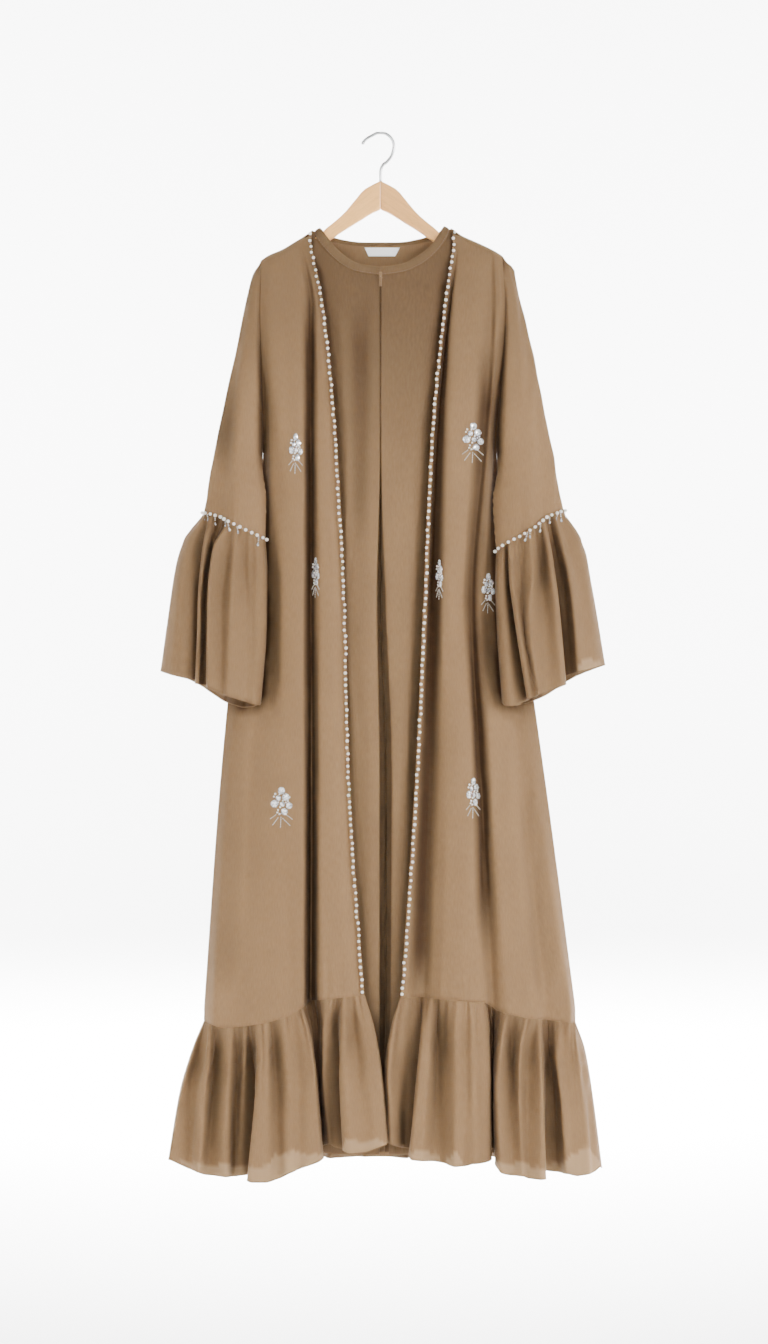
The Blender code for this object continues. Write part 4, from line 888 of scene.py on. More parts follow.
@functools.lru_cache(maxsize=None)
def crystal_shape():
    """Corners and faces of a cut crystal of radius 1, with its table up."""
    deselect_all()
    bpy.ops.mesh.primitive_cylinder_add(vertices=CRYSTAL_SIDES, radius=1.0, depth=0.5)
    bpy.ops.object.mode_set(mode="EDIT")
    bpy.ops.mesh.select_mode(type="FACE")
    bpy.ops.mesh.select_all(action="DESELECT")
    bpy.ops.object.mode_set(mode="OBJECT")
    made = bpy.context.active_object
    for face in made.data.polygons:
        face.select = face.normal.z > 0.9
    bpy.ops.object.mode_set(mode="EDIT")
    bpy.ops.mesh.extrude_region_move(TRANSFORM_OT_translate={"value": (0, 0, 0.28)})
    bpy.ops.transform.resize(value=(0.62, 0.62, 1), center_override=(0, 0, 0))
    bpy.ops.mesh.extrude_region_move(TRANSFORM_OT_translate={"value": (0, 0, 0.08)})
    bpy.ops.transform.resize(value=(0.6, 0.6, 1), center_override=(0, 0, 0))
    bpy.ops.object.mode_set(mode="OBJECT")
    return taken_shape()


def taken_shape():
    """The active object's corners and faces. The object itself is removed."""
    made = bpy.context.active_object
    place = np.array(made.matrix_world)
    verts = np.array([tuple(v.co) for v in made.data.vertices]) @ place[:3, :3].T + place[:3, 3]
    faces = [tuple(p.vertices) for p in made.data.polygons]
    mesh = made.data
    bpy.data.objects.remove(made, do_unlink=True)
    bpy.data.meshes.remove(mesh)
    return verts, faces


def copies(name, shape, frames, smooth=True):
    """One mesh of many copies of a shape. Each frame is a centre and three axes, in mm."""
    verts, faces = shape
    points, quads = [], []
    for centre, axes in frames:
        base = len(points) * len(verts)
        points.append(np.asarray(centre) + verts @ np.asarray(axes))
        quads += [tuple(base + i for i in face) for face in faces]
    mesh = bpy.data.meshes.new(name)
    mesh.from_pydata((np.concatenate(points) * MM).tolist(), [], quads)
    (mesh.shade_smooth if smooth else mesh.shade_flat)()
    return make_object(name, mesh)


def sewn(name, shape, frames, finish, replaced=(), smooth=True):
    """A piece of many copies of one bead or stitch."""
    made = copies(name, shape, frames, smooth)
    give(made, finished(finish), replaced)
    return made


def painted_shade_edge(name, points, radius, share, sides=6, closed=False):
    """A narrow roll of cloth, with the same painted shade all over."""
    made = tube(name, points, radius, sides, closed)
    set_measure(made.data, "hollow", [share] * len(made.data.vertices))
    give(made, cloth_material())
    return made


def round_frame(centre, radius):
    return centre, np.eye(3) * radius


# Materials


def rgba(colour):
    return (*colour, 1.0)


def scaled(colour, share):
    return tuple(min(c * share, 1.0) for c in colour)


class Shading:
    """A new material, and how its nodes are made and linked."""

    def __init__(self, name, **values):
        self.material = bpy.data.materials.new(name)
        self.material.use_nodes = True
        self.tree = self.material.node_tree
        self.shader = self.put(self.tree.nodes["Principled BSDF"], **values)

    def put(self, node, **values):
        """Set a node's sockets to constants, or link them to the outputs of others."""
        for name, value in values.items():
            socket = node.inputs[name.replace("_", " ")]
            if isinstance(value, bpy.types.NodeSocket):
                self.tree.links.new(value, socket)
            else:
                socket.default_value = value
        return node

    def add(self, kind, **values):
        return self.put(self.tree.nodes.new("ShaderNode" + kind), **values)

    def place(self):
        return self.add("TexCoord").outputs["Object"]

    def measure(self, name):
        made = self.add("Attribute")
        made.attribute_name = name
        return made.outputs["Fac"]

    def mapped(self, source, scale=(1, 1, 1), rotation=(0, 0, 0)):
        made = self.add("Mapping", Vector=source, Scale=scale, Rotation=rotation)
        return made.outputs["Vector"]

    def noise(self, source, scale=1.0, detail=3.0, roughness=0.5):
        made = self.add("TexNoise", Vector=source, Scale=scale, Detail=detail, Roughness=roughness)
        return made.outputs["Fac"]

    def ramp(self, source, low, high, start=0.3, end=0.7, halfway=None):
        made = self.add("ValToRGB", Fac=source)
        stops = made.color_ramp.elements
        stops[0].position, stops[1].position = start, end
        stops[0].color, stops[1].color = rgba(low), rgba(high)
        if halfway is not None:
            stops.new((start + end) / 2).color = rgba(halfway)
        return made.outputs["Color"]

    def tone(self, source, base, low, high, start=0.3, end=0.7):
        """A colour that wavers between two shares of it."""
        return self.ramp(source, scaled(base, low), scaled(base, high), start, end)

    def mix(self, first, second, factor=1.0, blend="MULTIPLY"):
        made = self.add("Mix")
        made.data_type, made.blend_type = "RGBA", blend
        return self.put(made, Factor=factor, A=first, B=second).outputs["Result"]

    def bump(self, height, distance, strength, before=None):
        made = self.add("Bump", Distance=distance, Strength=strength, Height=height)
        if before is not None:
            self.put(made, Normal=before)
        return made.outputs["Normal"]

    def weave(self, uv, pitch):
        """Height of a fine plain weave, with threads a pitch apart, from the cloth's UV map."""
        joined = self.add("Math")
        joined.operation = "ADD"
        for direction, socket in zip("XY", joined.inputs):
            wave = self.add("TexWave", Vector=uv, Scale=ONE_WAVE / pitch, Distortion=1.5,
                            Detail=1.0, Detail_Scale=0.4)
            wave.bands_direction = direction
            self.tree.links.new(wave.outputs["Fac"], socket)
        return joined.outputs[0]

    def done(self, **values):
        """The material, once its shader's last sockets are linked."""
        self.put(self.shader, **values)
        return self.material


ONE_WAVE = 0.3142      # scale at which the wave texture has one wave in a unit

# Painted shade: the share of the cloth's colour left half way and in its deepest folds, and the
# shares of painted shade between which it darkens
PAINTED_HALF_SHADE_TINT = (0.57, 0.585, 0.60)
PAINTED_SHADE_TINT = (0.19, 0.155, 0.125)
PAINTED_SHADE_RANGE = (0.10, 0.60)


@functools.lru_cache(maxsize=None)
def cloth_material():
    """Matt crepe with a fine weave; painted lighter where it hangs as a single layer, for light
    passing through, and darkened by painted shade in its folds.
    """
    made = Shading("crepe", Roughness=0.75, Sheen_Weight=0.06, Sheen_Roughness=0.4,
                   Specular_IOR_Level=0.14, Sheen_Tint=rgba((0.95, 0.80, 0.62)))
    mapping = made.add("UVMap")
    mapping.uv_map = "cloth"
    uv = mapping.outputs["UV"]
    slub = made.noise(made.mapped(uv, (900, 90, 1)), detail=2.0)
    fine = made.tone(slub, colours().cloth, 0.93, 1.07)
    broad = made.ramp(made.noise(made.place(), 9.0), (0.94, 0.94, 0.95), (1.0, 1.0, 1.0))
    # Painted light: the cloth's colour is made lighter in the single layer above the hem, for light
    # that passes through it
    thin = made.mix(made.mix(fine, broad), rgba(colours().sheer), made.measure("sheer"), "MIX")
    # The colour that depth holds is painted shade: the cloth darkened by its share of painted shade
    depth = made.ramp(made.measure("hollow"), (1, 1, 1), PAINTED_SHADE_TINT, *PAINTED_SHADE_RANGE, PAINTED_HALF_SHADE_TINT)
    threads = made.bump(made.weave(uv, 0.0007), 0.00012, 0.5)
    grain = made.noise(made.mapped(uv, (700, 500, 1)))
    return made.done(Base_Color=made.mix(thin, depth),
                     Normal=made.bump(grain, 0.00025, 0.6, threads))


# Plain finishes: the colour, the share of it that shows, how fine the specks are, their darkest
# and brightest shares, where the ramp between them starts and ends, and the shader's sockets
Finish = namedtuple("Finish", "colour share scale low high start end sockets")
FINISHES = {
    "pearl": Finish("pearl", 1.0, 180.0, 0.88, 1.08, 0.3, 0.7, dict(
        Roughness=0.22, Coat_Weight=0.7, Coat_Roughness=0.08, Subsurface_Weight=0.15,
        Subsurface_Scale=0.002)),
    # The crystal's strong speckle is painted sparkle: dark and bright patches that stand for
    # reflections in its cut facets
    "crystal": Finish("crystal", 1.0, 420.0, 0.35, 1.05, 0.4, 0.6, dict(
        Metallic=0.42, Roughness=0.10, Coat_Weight=1.0, Coat_Roughness=0.03)),
    "bugle_bead": Finish("silver", 1.0, 300.0, 0.85, 1.15, 0.3, 0.7, dict(
        Metallic=0.15, Roughness=0.25, Coat_Weight=0.8, Coat_Roughness=0.05)),
    "clear_bead": Finish("cloth", 1.35, 300.0, 0.75, 1.3, 0.3, 0.7, dict(
        Roughness=0.15, Coat_Weight=0.8, Coat_Roughness=0.05)),
    "thread": Finish("cloth", 0.72, 1500.0, 0.85, 1.15, 0.3, 0.7, dict(
        Roughness=0.6, Sheen_Weight=0.2)),
    "backdrop_paper": Finish("floor", 1.0, 0.6, 0.99, 1.0, 0.3, 0.7, dict(
        Roughness=0.95, Specular_IOR_Level=0.1)),
}


@functools.lru_cache(maxsize=None)
def finished(name):
    """Pearl, glass, thread or paper, with a tone that wavers a little from place to place; on the
    crystals the strong dark and bright specks are painted sparkle.
    """
    finish = FINISHES[name]
    made = Shading(name, **finish.sockets)
    base = scaled(getattr(colours(), finish.colour), finish.share)
    speckle_and_painted_sparkle = made.noise(made.place(), finish.scale, 1.0)
    return made.done(Base_Color=made.tone(speckle_and_painted_sparkle, base, *finish[3:7]))


def wood_material(name, tilt, share):
    """Pale beech with a fine grain along the arm and short darker flecks."""
    made = Shading(name, Roughness=0.42, Coat_Weight=0.2, Coat_Roughness=0.25)
    turned = made.mapped(made.place(), rotation=(0, tilt, 0))
    grain = made.noise(made.mapped(turned, (9, 160, 210)), 1.0, 5.0, 0.6)
    fleck = made.noise(made.mapped(turned, (90, 700, 1100)), 1.0, 2.0)
    broad = made.tone(grain, scaled(colours().wood, share), 0.86, 1.08)
    spots = made.ramp(fleck, (0.80, 0.74, 0.68), (1, 1, 1), 0.34, 0.44)
    return made.done(Base_Color=made.mix(broad, spots, 0.55), Normal=made.bump(grain, 0.00015, 0.4))


def metal_material(name, colour, roughness):
    """Bright metal with faint rubbed streaks."""
    made = Shading(name, Metallic=1.0)
    rubbed = made.noise(made.mapped(made.place(), (400, 400, 90)))
    gloss = made.add("MapRange", Value=rubbed, To_Min=roughness * 0.7, To_Max=roughness * 1.4)
    return made.done(Base_Color=made.tone(rubbed, colour, 0.92, 1.05),
                     Roughness=gloss.outputs["Result"])


def label_material():
    """White satin, left blank."""
    made = Shading("label_satin", Roughness=0.42, Sheen_Weight=0.3)
    weft = made.noise(made.mapped(made.place(), (300, 1, 4200)), detail=2.0)
    return made.done(Base_Color=made.tone(weft, colours().label, 0.94, 1.04),
                     Normal=made.bump(weft, 0.0001, 0.5))


# The garment's panels, and how far from the middle their edges meet in a side seam
SIDE_SEAM = 0.62


@functools.lru_cache(maxsize=None)
def front_grid(side):
    folds = FRONTS[side]
    places = places_over(len(folds), 9)
    x, depth = spread(folds, BODY_DROPS, places)
    top = line_at(SHOULDERS[side], level_at(x, BODY_DROPS[0]))
    bottom = line_at(HEM_SEAM, level_at(x, BODY_DROPS[-1]))
    drops = steps_down(top, bottom, 8.0, SHOULDER_STEPS)
    grid = hang(x, depth, drops)
    below = drops - top[:, None]
    grid[..., 1] = -SHOULDER_EDGE + (grid[..., 1] + SHOULDER_EDGE) * rolled(below)
    inwards = from_ends(places)
    room = ease(below / 90) * ease(inwards / 1.2)
    height = sizes().crease / MM * creases(run_across(grid), below, side + " front")
    from_hem = bottom[:, None] - drops
    near_pearls = ease((6.5 - places) / 2.0)[:, None]
    pulled = gathered(run_across(grid)[:, -1:], from_hem, side + " front hem") * near_pearls
    normal = facing(grid, TOWARDS_VIEWER)
    lift = height * room + 0.6 * sizes().gather / MM * pulled * ease(inwards / 0.6)
    grid = grid + normal * lift[..., None]
    grid[-1, :, 1] = np.maximum(grid[-1, :, 1], -SIDE_SEAM)
    return grid


def band_edge(bands):
    """x, drop and depth of the neckband's lower edge."""
    ordered = sorted((band.x_out, band.drop_out, band.depth) for band in bands)
    return [np.array(column, float) for column in zip(*ordered)]


def under_band(grid, below, x_top, bands, inward):
    """Draw a panel's upper edge to the neckband's lower edge and tuck it under."""
    xs, _, depths = band_edge(bands)
    under = ((x_top > xs[0] - 3) & (x_top < xs[-1] + 3))[:, None]
    share = np.where(under, (1 - ease(below / 16)), 0.0)
    band_depth = np.interp(x_top, xs, depths)[:, None]
    grid[..., 1] += (band_depth - grid[..., 1]) * share + inward * 1.1 * share
    return grid


@functools.lru_cache(maxsize=None)
def inner_grid(side):
    folds = INNERS[side]
    places = places_over(len(folds), 10)
    x, depth = spread(folds, INNER_DROPS, places)
    bands = NECKBAND[:8] if side == "left" else NECKBAND[-8:]
    tucked = ((-132, 180), (-166, 200)) if side == "left" else ((136, 176), (168, 194))
    xs, drops_out, _ = band_edge(bands)
    edge = [*zip(xs, drops_out - TUCK), *tucked]
    x_top = level_at(x, INNER_DROPS[0])
    top = line_at(edge, x_top)
    drops = steps_down(top, np.full_like(top, LINING_HEM), 9.0, (0.0, 1.5, 4.0, 8.0))
    grid = hang(x, depth, drops)
    below = drops - top[:, None]
    grid = under_band(grid, below, x_top, bands, 1.0)
    room = ease(below / 120) * ease((from_ends(places) - 2.0) / 2.0)
    height = 0.5 * sizes().crease / MM * creases(run_across(grid), below, side + " inner")
    return grid + facing(grid, TOWARDS_VIEWER) * (height * room)[..., None]


@functools.lru_cache(maxsize=None)
def back_grid():
    left, right = [np.array(FRONTS[side][-1].x) for side in SIDES]
    folds = [Fold(f.name, f.x * left, f.depth) for f in BACK]
    folds += [Fold(f.name, f.x * right, f.depth) for f in BACK[-2::-1]]
    places = places_over(len(folds), 12)
    x, depth = spread(folds, BODY_DROPS, places)
    x_top = level_at(x, BODY_DROPS[0])
    bands = NECKBAND[8:16]
    xs, drops_out, _ = band_edge(bands)
    edge = [*SHOULDERS["left"][:5], *zip(xs, drops_out - TUCK), *SHOULDERS["right"][1:]]
    top = line_at(edge, x_top)
    on_shoulder = curve_through(SHOULDER_ENDS, (1.0, 0.0, 0.0, 1.0), x_top)[:, None]
    drops = steps_down(top, np.full_like(top, BACK_SEAM_DROP), 9.0, SHOULDER_STEPS)
    grid = hang(x, depth, drops)
    below = drops - top[:, None]
    turned = 1 - on_shoulder * (1 - rolled(below))
    grid[..., 1] = SHOULDER_EDGE + (grid[..., 1] - SHOULDER_EDGE) * turned
    grid = under_band(grid, below, x_top, NECKBAND[9:15], -1.0)
    room = ease(below / 120) * ease(from_ends(places) / 1.2)
    height = 1.6 * sizes().crease / MM * creases(run_across(grid), below, "back", (30.0, 90.0))
    grid = grid + facing(grid, AWAY) * (height * room)[..., None]
    for side in (0, -1):
        grid[side, :, 1] = np.minimum(grid[side, :, 1], SIDE_SEAM)
    return grid


SLEEVE_OPENS = 18.0    # how far below its corner a sleeve has rounded out
SHOULDER_FULLER = {"left": 0.0, "right": 7.0}


@functools.lru_cache(maxsize=None)
def sleeve_grid(side):
    """A sleeve: open towards the body above the underarm, and a tube below it."""
    outward = -1 if side == "left" else 1
    body = FRONTS[side][-1]
    corner = SHOULDERS[side][0 if side == "left" else -1][1]
    inner = list(zip(*INNER_EDGES[side]))
    above = DROP_SCALE < UNDERARM
    edge_x = curve_through(BODY_DROPS, body.x, DROP_SCALE) + outward * ARMHOLE_SEAM
    low_x, low_depth = curve_through(inner[0], np.transpose(inner[1:]), DROP_SCALE).T
    turned = rolled(DROP_SCALE - corner)
    front = curve_through(BODY_DROPS, body.depth, DROP_SCALE)
    back = curve_through(BODY_DROPS, BACK[0].depth, DROP_SCALE)
    front = -SHOULDER_EDGE + (front + SHOULDER_EDGE) * turned
    back = SHOULDER_EDGE + (back - SHOULDER_EDGE) * turned
    line_x = [np.where(above, edge_x, low_x)]
    line_depth = [np.where(above, front, low_depth)]
    for fold in SLEEVE:
        line_x.append(curve_through(SLEEVE_DROPS, getattr(fold, side), DROP_SCALE))
        line_depth.append(curve_through(SLEEVE_DROPS, fold.depth, DROP_SCALE))
    line_x.append(line_x[0])
    line_depth.append(np.where(above, back, low_depth))
    line_x, line_depth = np.array(line_x), np.array(line_depth)
    opened = np.sqrt(np.clip((DROP_SCALE - corner) / SLEEVE_OPENS, 0, 1))
    line_x = line_x[0] + (line_x - line_x[0]) * opened
    line_depth = line_depth * np.maximum(opened, 0.1)
    fuller = SHOULDER_FULLER[side] * np.exp(-((DROP_SCALE - corner - 13) / 11) ** 2)
    line_x[2:-2] += fuller * opened
    near_seam = np.searchsorted(DROP_SCALE, 580)
    seam_at_lines = line_at(CUFFS[side], line_x[:, near_seam])
    places = places_over(len(line_x), 12)
    lines = range(len(line_x))
    seam = curve_through(lines, seam_at_lines, places)
    x = curve_through(lines, line_x, places)
    depth = curve_through(lines, line_depth, places)
    top = np.full_like(seam, corner + 0.5)
    drops = steps_down(top, seam, 6.0, SHOULDER_STEPS)
    grid = hang(x, depth, drops)
    below = drops - top[:, None]
    round_tube = 0.5 - 0.5 * np.cos(2 * math.pi * places / places[-1])[:, None]
    room = ease(below / 90) * round_tube
    across = run_across(grid)
    height = sizes().crease / MM * creases(across, below, side + " sleeve", (22.0, 50.0))
    closing = gathered(across, seam[:, None] - drops, side + " cuff seam")
    lift = (height * room + 0.4 * sizes().gather / MM * closing * round_tube)[..., None]
    return grid + facing(grid, from_axis(grid)) * lift


def flute_measure(flutes, places, field):
    return curve_through(range(len(flutes)), [getattr(flute, field) for flute in flutes], places)


NEAR_SEAM = 0.19       # where a flute is near its seam, as a share of its length


def ruffle_grid(flutes, between, top, rows, seed, outward):
    """A ruffle from its seam, through the middle of its flutes, to its hem."""
    places = places_over(len(flutes), between)
    hem_z = -flute_measure(flutes, places, "drop_hem")

    def level(name, z):
        x, depth = [flute_measure(flutes, places, field + name) for field in ("x_", "depth_")]
        return np.stack([x, depth, z], axis=-1)

    hem = level("hem", hem_z)
    middle = level("mid", (top[:, 2] + hem_z) / 2)
    near = level("near", top[:, 2] + (hem_z - top[:, 2]) * NEAR_SEAM)
    shares = np.concatenate([[0, 0.006, 0.014, 0.025], np.linspace(0.04, 1, rows)])
    levels = np.stack([top, near, middle, hem])
    grid = curve_through((0, NEAR_SEAM, 0.5, 1), levels, shares).transpose(1, 0, 2)
    across = run_across(grid)[:, :1]
    below = run_down(grid)
    rest = ease(from_ends(places))
    lift = sizes().gather / MM * gathered(across, below, seed) * rest
    soft = creases(run_across(grid), below, seed + " soft", (18.0, 45.0))
    lift = lift + 0.8 * sizes().crease / MM * soft * ease(below / 60) * rest
    normal = facing(grid, from_axis(grid) if outward is None else outward)
    return grid + normal * lift[..., None]


@functools.lru_cache(maxsize=None)
def cuff_grid(side):
    seam = sleeve_grid(side)[:, -1]
    places = places_over(len(SLEEVE) + 2, 12)
    flutes = list(CUFF_FLUTES[side])
    flutes.append(flutes[0]._replace(at=places[-1]))
    at = flute_measure(flutes, places_over(len(flutes), 10), "at")
    top = points_at(at, places, seam)
    top[-1] = top[0]
    grid = ruffle_grid(flutes, 10, top, 36, side + " cuff", None)
    grid[-1] = grid[0]
    return grid


def hem_ruffle(seam, flutes, rows, seed, outward):
    """A ruffle that hangs from the foot of a panel."""
    seam = seam[np.argsort(seam[:, 0])]
    x = flute_measure(flutes, places_over(len(flutes), 10), "at")
    top = points_at(x, seam[:, 0], seam)
    return ruffle_grid(flutes, 10, top, rows, seed, outward)


@functools.lru_cache(maxsize=None)
def hem_grid(side):
    grid = hem_ruffle(front_grid(side)[:, -1], HEM_FLUTES[side], 38, side + " hem", TOWARDS_VIEWER)
    edge = 0 if side == "left" else -1
    grid[edge, :, 1] = np.maximum(grid[edge, :, 1], -SIDE_SEAM)
    return grid


def back_flutes():
    """Flutes round the back of the hem, a little uneven in width and depth."""
    left, right = [FRONTS[side][-1].x[-1] for side in SIDES]
    made = [BACK_END_LEFT]
    steps = BACK_FLUTES * 2
    for i in range(1, steps):
        share = i / steps + BACK_UNEVEN * math.sin(2.4 * i) / steps
        seam_x = left + (right - left) * share
        hem_x = BACK_END_LEFT.x_hem + (BACK_END_RIGHT.x_hem - BACK_END_LEFT.x_hem) * share
        ridge = i % 2
        from_side = min(i, steps - i) / steps
        depth = BACK_HOLLOW + BACK_RIDGE * ridge + BACK_SWELL * math.sin(1.7 * i)
        depth *= min(from_side * BACK_RISE, 1.0)
        raised = BACK_SIDE_RAISED * (1 - min(from_side * BACK_RAISE_ENDS, 1.0)) ** 2
        drop = BACK_HEM_DROP - raised + BACK_RIDGE_LOWER * ridge
        near_x = seam_x + (hem_x - seam_x) * NEAR_SEAM
        made.append(Flute(seam_x, near_x, 25 + depth * 0.3, (seam_x + hem_x) / 2, depth * 0.8,
                          hem_x, depth, drop, 0))
    made.append(BACK_END_RIGHT)
    return made


@functools.lru_cache(maxsize=None)
def back_hem_grid():
    grid = hem_ruffle(back_grid()[:, -1], back_flutes(), 34, "back hem", AWAY)
    for side in (0, -1):
        grid[side, :, 1] = np.minimum(grid[side, :, 1], SIDE_SEAM)
    return grid


def rolled_hem(name, grid, closed=False):
    """The narrow rolled edge along the foot of a piece."""
    edge = grid[:, -1]
    if closed:
        edge = edge[:-1]
    return painted_shade_edge(name, edge + [0, 0, 0.4], 0.85, 0.24, closed=closed)


def single_layer_painted_light_share(grid, flutes):
    """Share of painted light at each point, for light through the single layer above the hem: 1 in
    that layer.
    """
    height = flute_measure(flutes, np.linspace(0, len(flutes) - 1, len(grid)), "single")[:, None]
    run, hem = run_down(grid), run_across(grid)[:, -1:]
    uneven = 1.6 * np.sin(hem / 7.0) + 1.2 * np.sin(hem / 2.9)
    from_hem = run[:, -1:] - run
    return ease((height + uneven - from_hem) / 3.0 + 0.5) * ease(height / 6.0)


def panel(name, node, grid, outward, rests_on, hem="", closed=False, **measures):
    """A panel of cloth, with its rolled hem if it has one."""
    made = cloth_piece(name, grid, outward, node, **measures)
    hems = [rolled_hem(hem, grid, closed)] if hem else []


class ABAYA_OT_back(bpy.types.Operator):
    """Make the back panel"""
    bl_idname = "abaya.back"
    bl_label = "Back"

    def execute(self, context):
        panel("back_panel", "back", back_grid(), AWAY, "hanger_arms")
        return {"FINISHED"}


class ABAYA_OT_fronts(bpy.types.Operator):
    """Make the two open outer fronts"""
    bl_idname = "abaya.fronts"
    bl_label = "Outer fronts"

    def execute(self, context):
        for side in SIDES:
            name = "front_" + side
            panel("outer_" + name, name, front_grid(side), TOWARDS_VIEWER, "hanger_arms")
        return {"FINISHED"}


class ABAYA_OT_inner_fronts(bpy.types.Operator):
    """Make the closed under-front, in two halves that meet at the centre seam"""
    bl_idname = "abaya.inner_fronts"
    bl_label = "Inner fronts"

    def execute(self, context):
        for side in SIDES:
            panel("under_front_" + side, "inner_front_" + side, inner_grid(side), TOWARDS_VIEWER,
                  "neck_binding", "under_front_hem_" + side)
        return {"FINISHED"}


def band_grid():
    """The neckband, folded over at its upper edge."""
    places = places_over(len(NECKBAND), 6)
    lines = range(len(NECKBAND))
    upper = curve_through(lines, [(b.x_in, b.depth, -b.drop_in) for b in NECKBAND], places)
    lower = curve_through(lines, [(b.x_out, b.depth, -b.drop_out) for b in NECKBAND], places)
    shares = np.linspace(0, 1, 8)
    grid = upper[:, None] + (lower - upper)[:, None] * shares[None, :, None]
    crown = 0.9 * np.sin(math.pi * shares)
    return grid + facing(grid, from_axis(grid)) * crown[None, :, None]


class ABAYA_OT_neckband(bpy.types.Operator):
    """Make the neckband with its row of stitches"""
    bl_idname = "abaya.neckband"
    bl_label = "Neckband"

    def execute(self, context):
        grid = band_grid()
        made = wall("neck_binding", grid, from_axis(grid), BAND_WALL,
                    hollow=shaded("neck_binding", grid) + EDGING_SHADE)
        give(made, cloth_material(), ("neckband",))
        fold = painted_shade_edge("neck_binding_fold", grid[:, 0], 1.0, 0.30)
        seam = grid[:, 6] + facing(grid, from_axis(grid))[:, 6] * 0.9
        stitch_line("neck_stitches", seam)
        return {"FINISHED"}


def stitch_line(name, points):
    """A row of stitches along points in millimetres."""
    length = sizes().stitch / MM
    runs = run_across(points)
    frames = []
    for start in np.arange(length, runs[-1] - length, length * 1.45):
        here, after = points_at([start, start + length], runs, points)
        along = (after - here) / 2
        side = unit(np.cross(along, [0.0, 0.0, 1.0]))
        up = unit(np.cross(side, along))
        frames.append(((here + after) / 2, np.array([along, side * 0.28, up * 0.28])))
    return sewn(name, bead_shape(), frames, "thread")


class ABAYA_OT_sleeves(bpy.types.Operator):
    """Make the two sleeves, down to their slanted seams"""
    bl_idname = "abaya.sleeves"
    bl_label = "Sleeves"

    def execute(self, context):
        for side in SIDES:
            grid = sleeve_grid(side)
            panel("wide_sleeve_" + side, "sleeve_" + side, grid, from_axis(grid),
                  "outer_front_" + side)
        return {"FINISHED"}


class ABAYA_OT_cuff_ruffles(bpy.types.Operator):
    """Make the gathered cuffs"""
    bl_idname = "abaya.cuff_ruffles"
    bl_label = "Cuff ruffles"

    def execute(self, context):
        for side in SIDES:
            grid = cuff_grid(side)
            flutes = CUFF_FLUTES[side] + CUFF_FLUTES[side][:1]
            panel("cuff_ruffle_" + side, "sleeve_ruffle_" + side, grid, from_axis(grid),
                  "wide_sleeve_" + side, "cuff_hem_" + side, True, sheer=single_layer_painted_light_share(grid, flutes))
        return {"FINISHED"}


class ABAYA_OT_hem_ruffles(bpy.types.Operator):
    """Make the gathered ruffles of the two fronts and the back"""
    bl_idname = "abaya.hem_ruffles"
    bl_label = "Hem ruffles"

    def execute(self, context):
        for side in SIDES:
            grid = hem_grid(side)
            panel("skirt_ruffle_" + side, "hem_ruffle_" + side, grid, TOWARDS_VIEWER,
                  "outer_front_" + side, "skirt_hem_" + side,
                  sheer=single_layer_painted_light_share(grid, HEM_FLUTES[side]))
        panel("skirt_ruffle_back", "hem_ruffle_back", back_hem_grid(), AWAY, "back_panel",
              "skirt_hem_back")
        return {"FINISHED"}


# Pearls, beads and crystals


def edging_rows(side):
    """Three lines of the narrow edging on the open edge of an outer front, and its normals."""
    grid = front_grid(side)
    normal = facing(grid, TOWARDS_VIEWER)
    first = 3
    lines = []
    for place in (0.4, 2.0, 4.0, 6.0, 8.2):
        low = int(place)
        share = place - low
        lines.append(grid[low] * (1 - share) + grid[low + 1] * share + normal[low] * 1.2)
    return np.array(lines)[:, first:], normal[4, first:]


SMALLEST_PEARL = 1.8   # radius in millimetres


def string_of_beads(points, seed, closed=False):
    """Centres and radii of beads along a line, a pearl and a small bead by turns."""
    rng = random.Random(seed)
    step = sizes().pearl_step / MM
    runs = run_across(points)
    diameters = itertools.cycle((sizes().pearl, sizes().bead))
    beads = []
    at = 1.2
    while at < runs[-1] - (step * 0.6 if closed else 1.0):
        radius = next(diameters) / MM * rng.uniform(0.9, 1.1) / 2
        beads.append((points_at(at, runs, points), radius))
        at += step * rng.uniform(0.88, 1.12)
    return beads


def lay_beads(kind, side, line, normal, closed, lift, seed, swell=1.0, sway=0.0):
    """Pearls and clear small beads by turns along a line on the cloth."""
    rng = random.Random(side + " sway")
    large, small = [], []
    for centre, radius in string_of_beads(line, side + seed, closed):
        out = normal[int(np.argmin(np.linalg.norm(line - centre, axis=1)))]
        aside = np.array([rng.uniform(-sway, sway), 0, 0])
        place = centre + out * (lift + radius * 0.8) + aside
        (large if radius > SMALLEST_PEARL else small).append(round_frame(place, radius * swell))
    sewn(kind + "_pearls_" + side, bead_shape(), large, "pearl")
    sewn(kind + "_beads_" + side, bead_shape(), small, "clear_bead")


class ABAYA_OT_front_beading(bpy.types.Operator):
    """Make the edging and the pearls down the open edges"""
    bl_idname = "abaya.front_beading"
    bl_label = "Front beading"

    def execute(self, context):
        for side in SIDES:
            rows, normal = edging_rows(side)
            name = "front_edging_" + side
            made = wall(name, rows, TOWARDS_VIEWER, EDGING_WALL,
                        hollow=shaded(name, rows) + EDGING_SHADE)
            give(made, cloth_material(), ("bead_edge_" + side,))
            lay_beads("front", side, rows[2], normal, False, 0.3, " pearls", sway=1.1)
        return {"FINISHED"}


# Where drops hang from a sleeve's beading, as x in millimetres: those seen from the front
DROPS = {
    "left": (-262, -258, -246, -230, -226, -213, -183),
    "right": (218, 223, 236, 252, 262, 268, 273),
}
TINY_STEP = 2.5        # from one tiny bead to the next


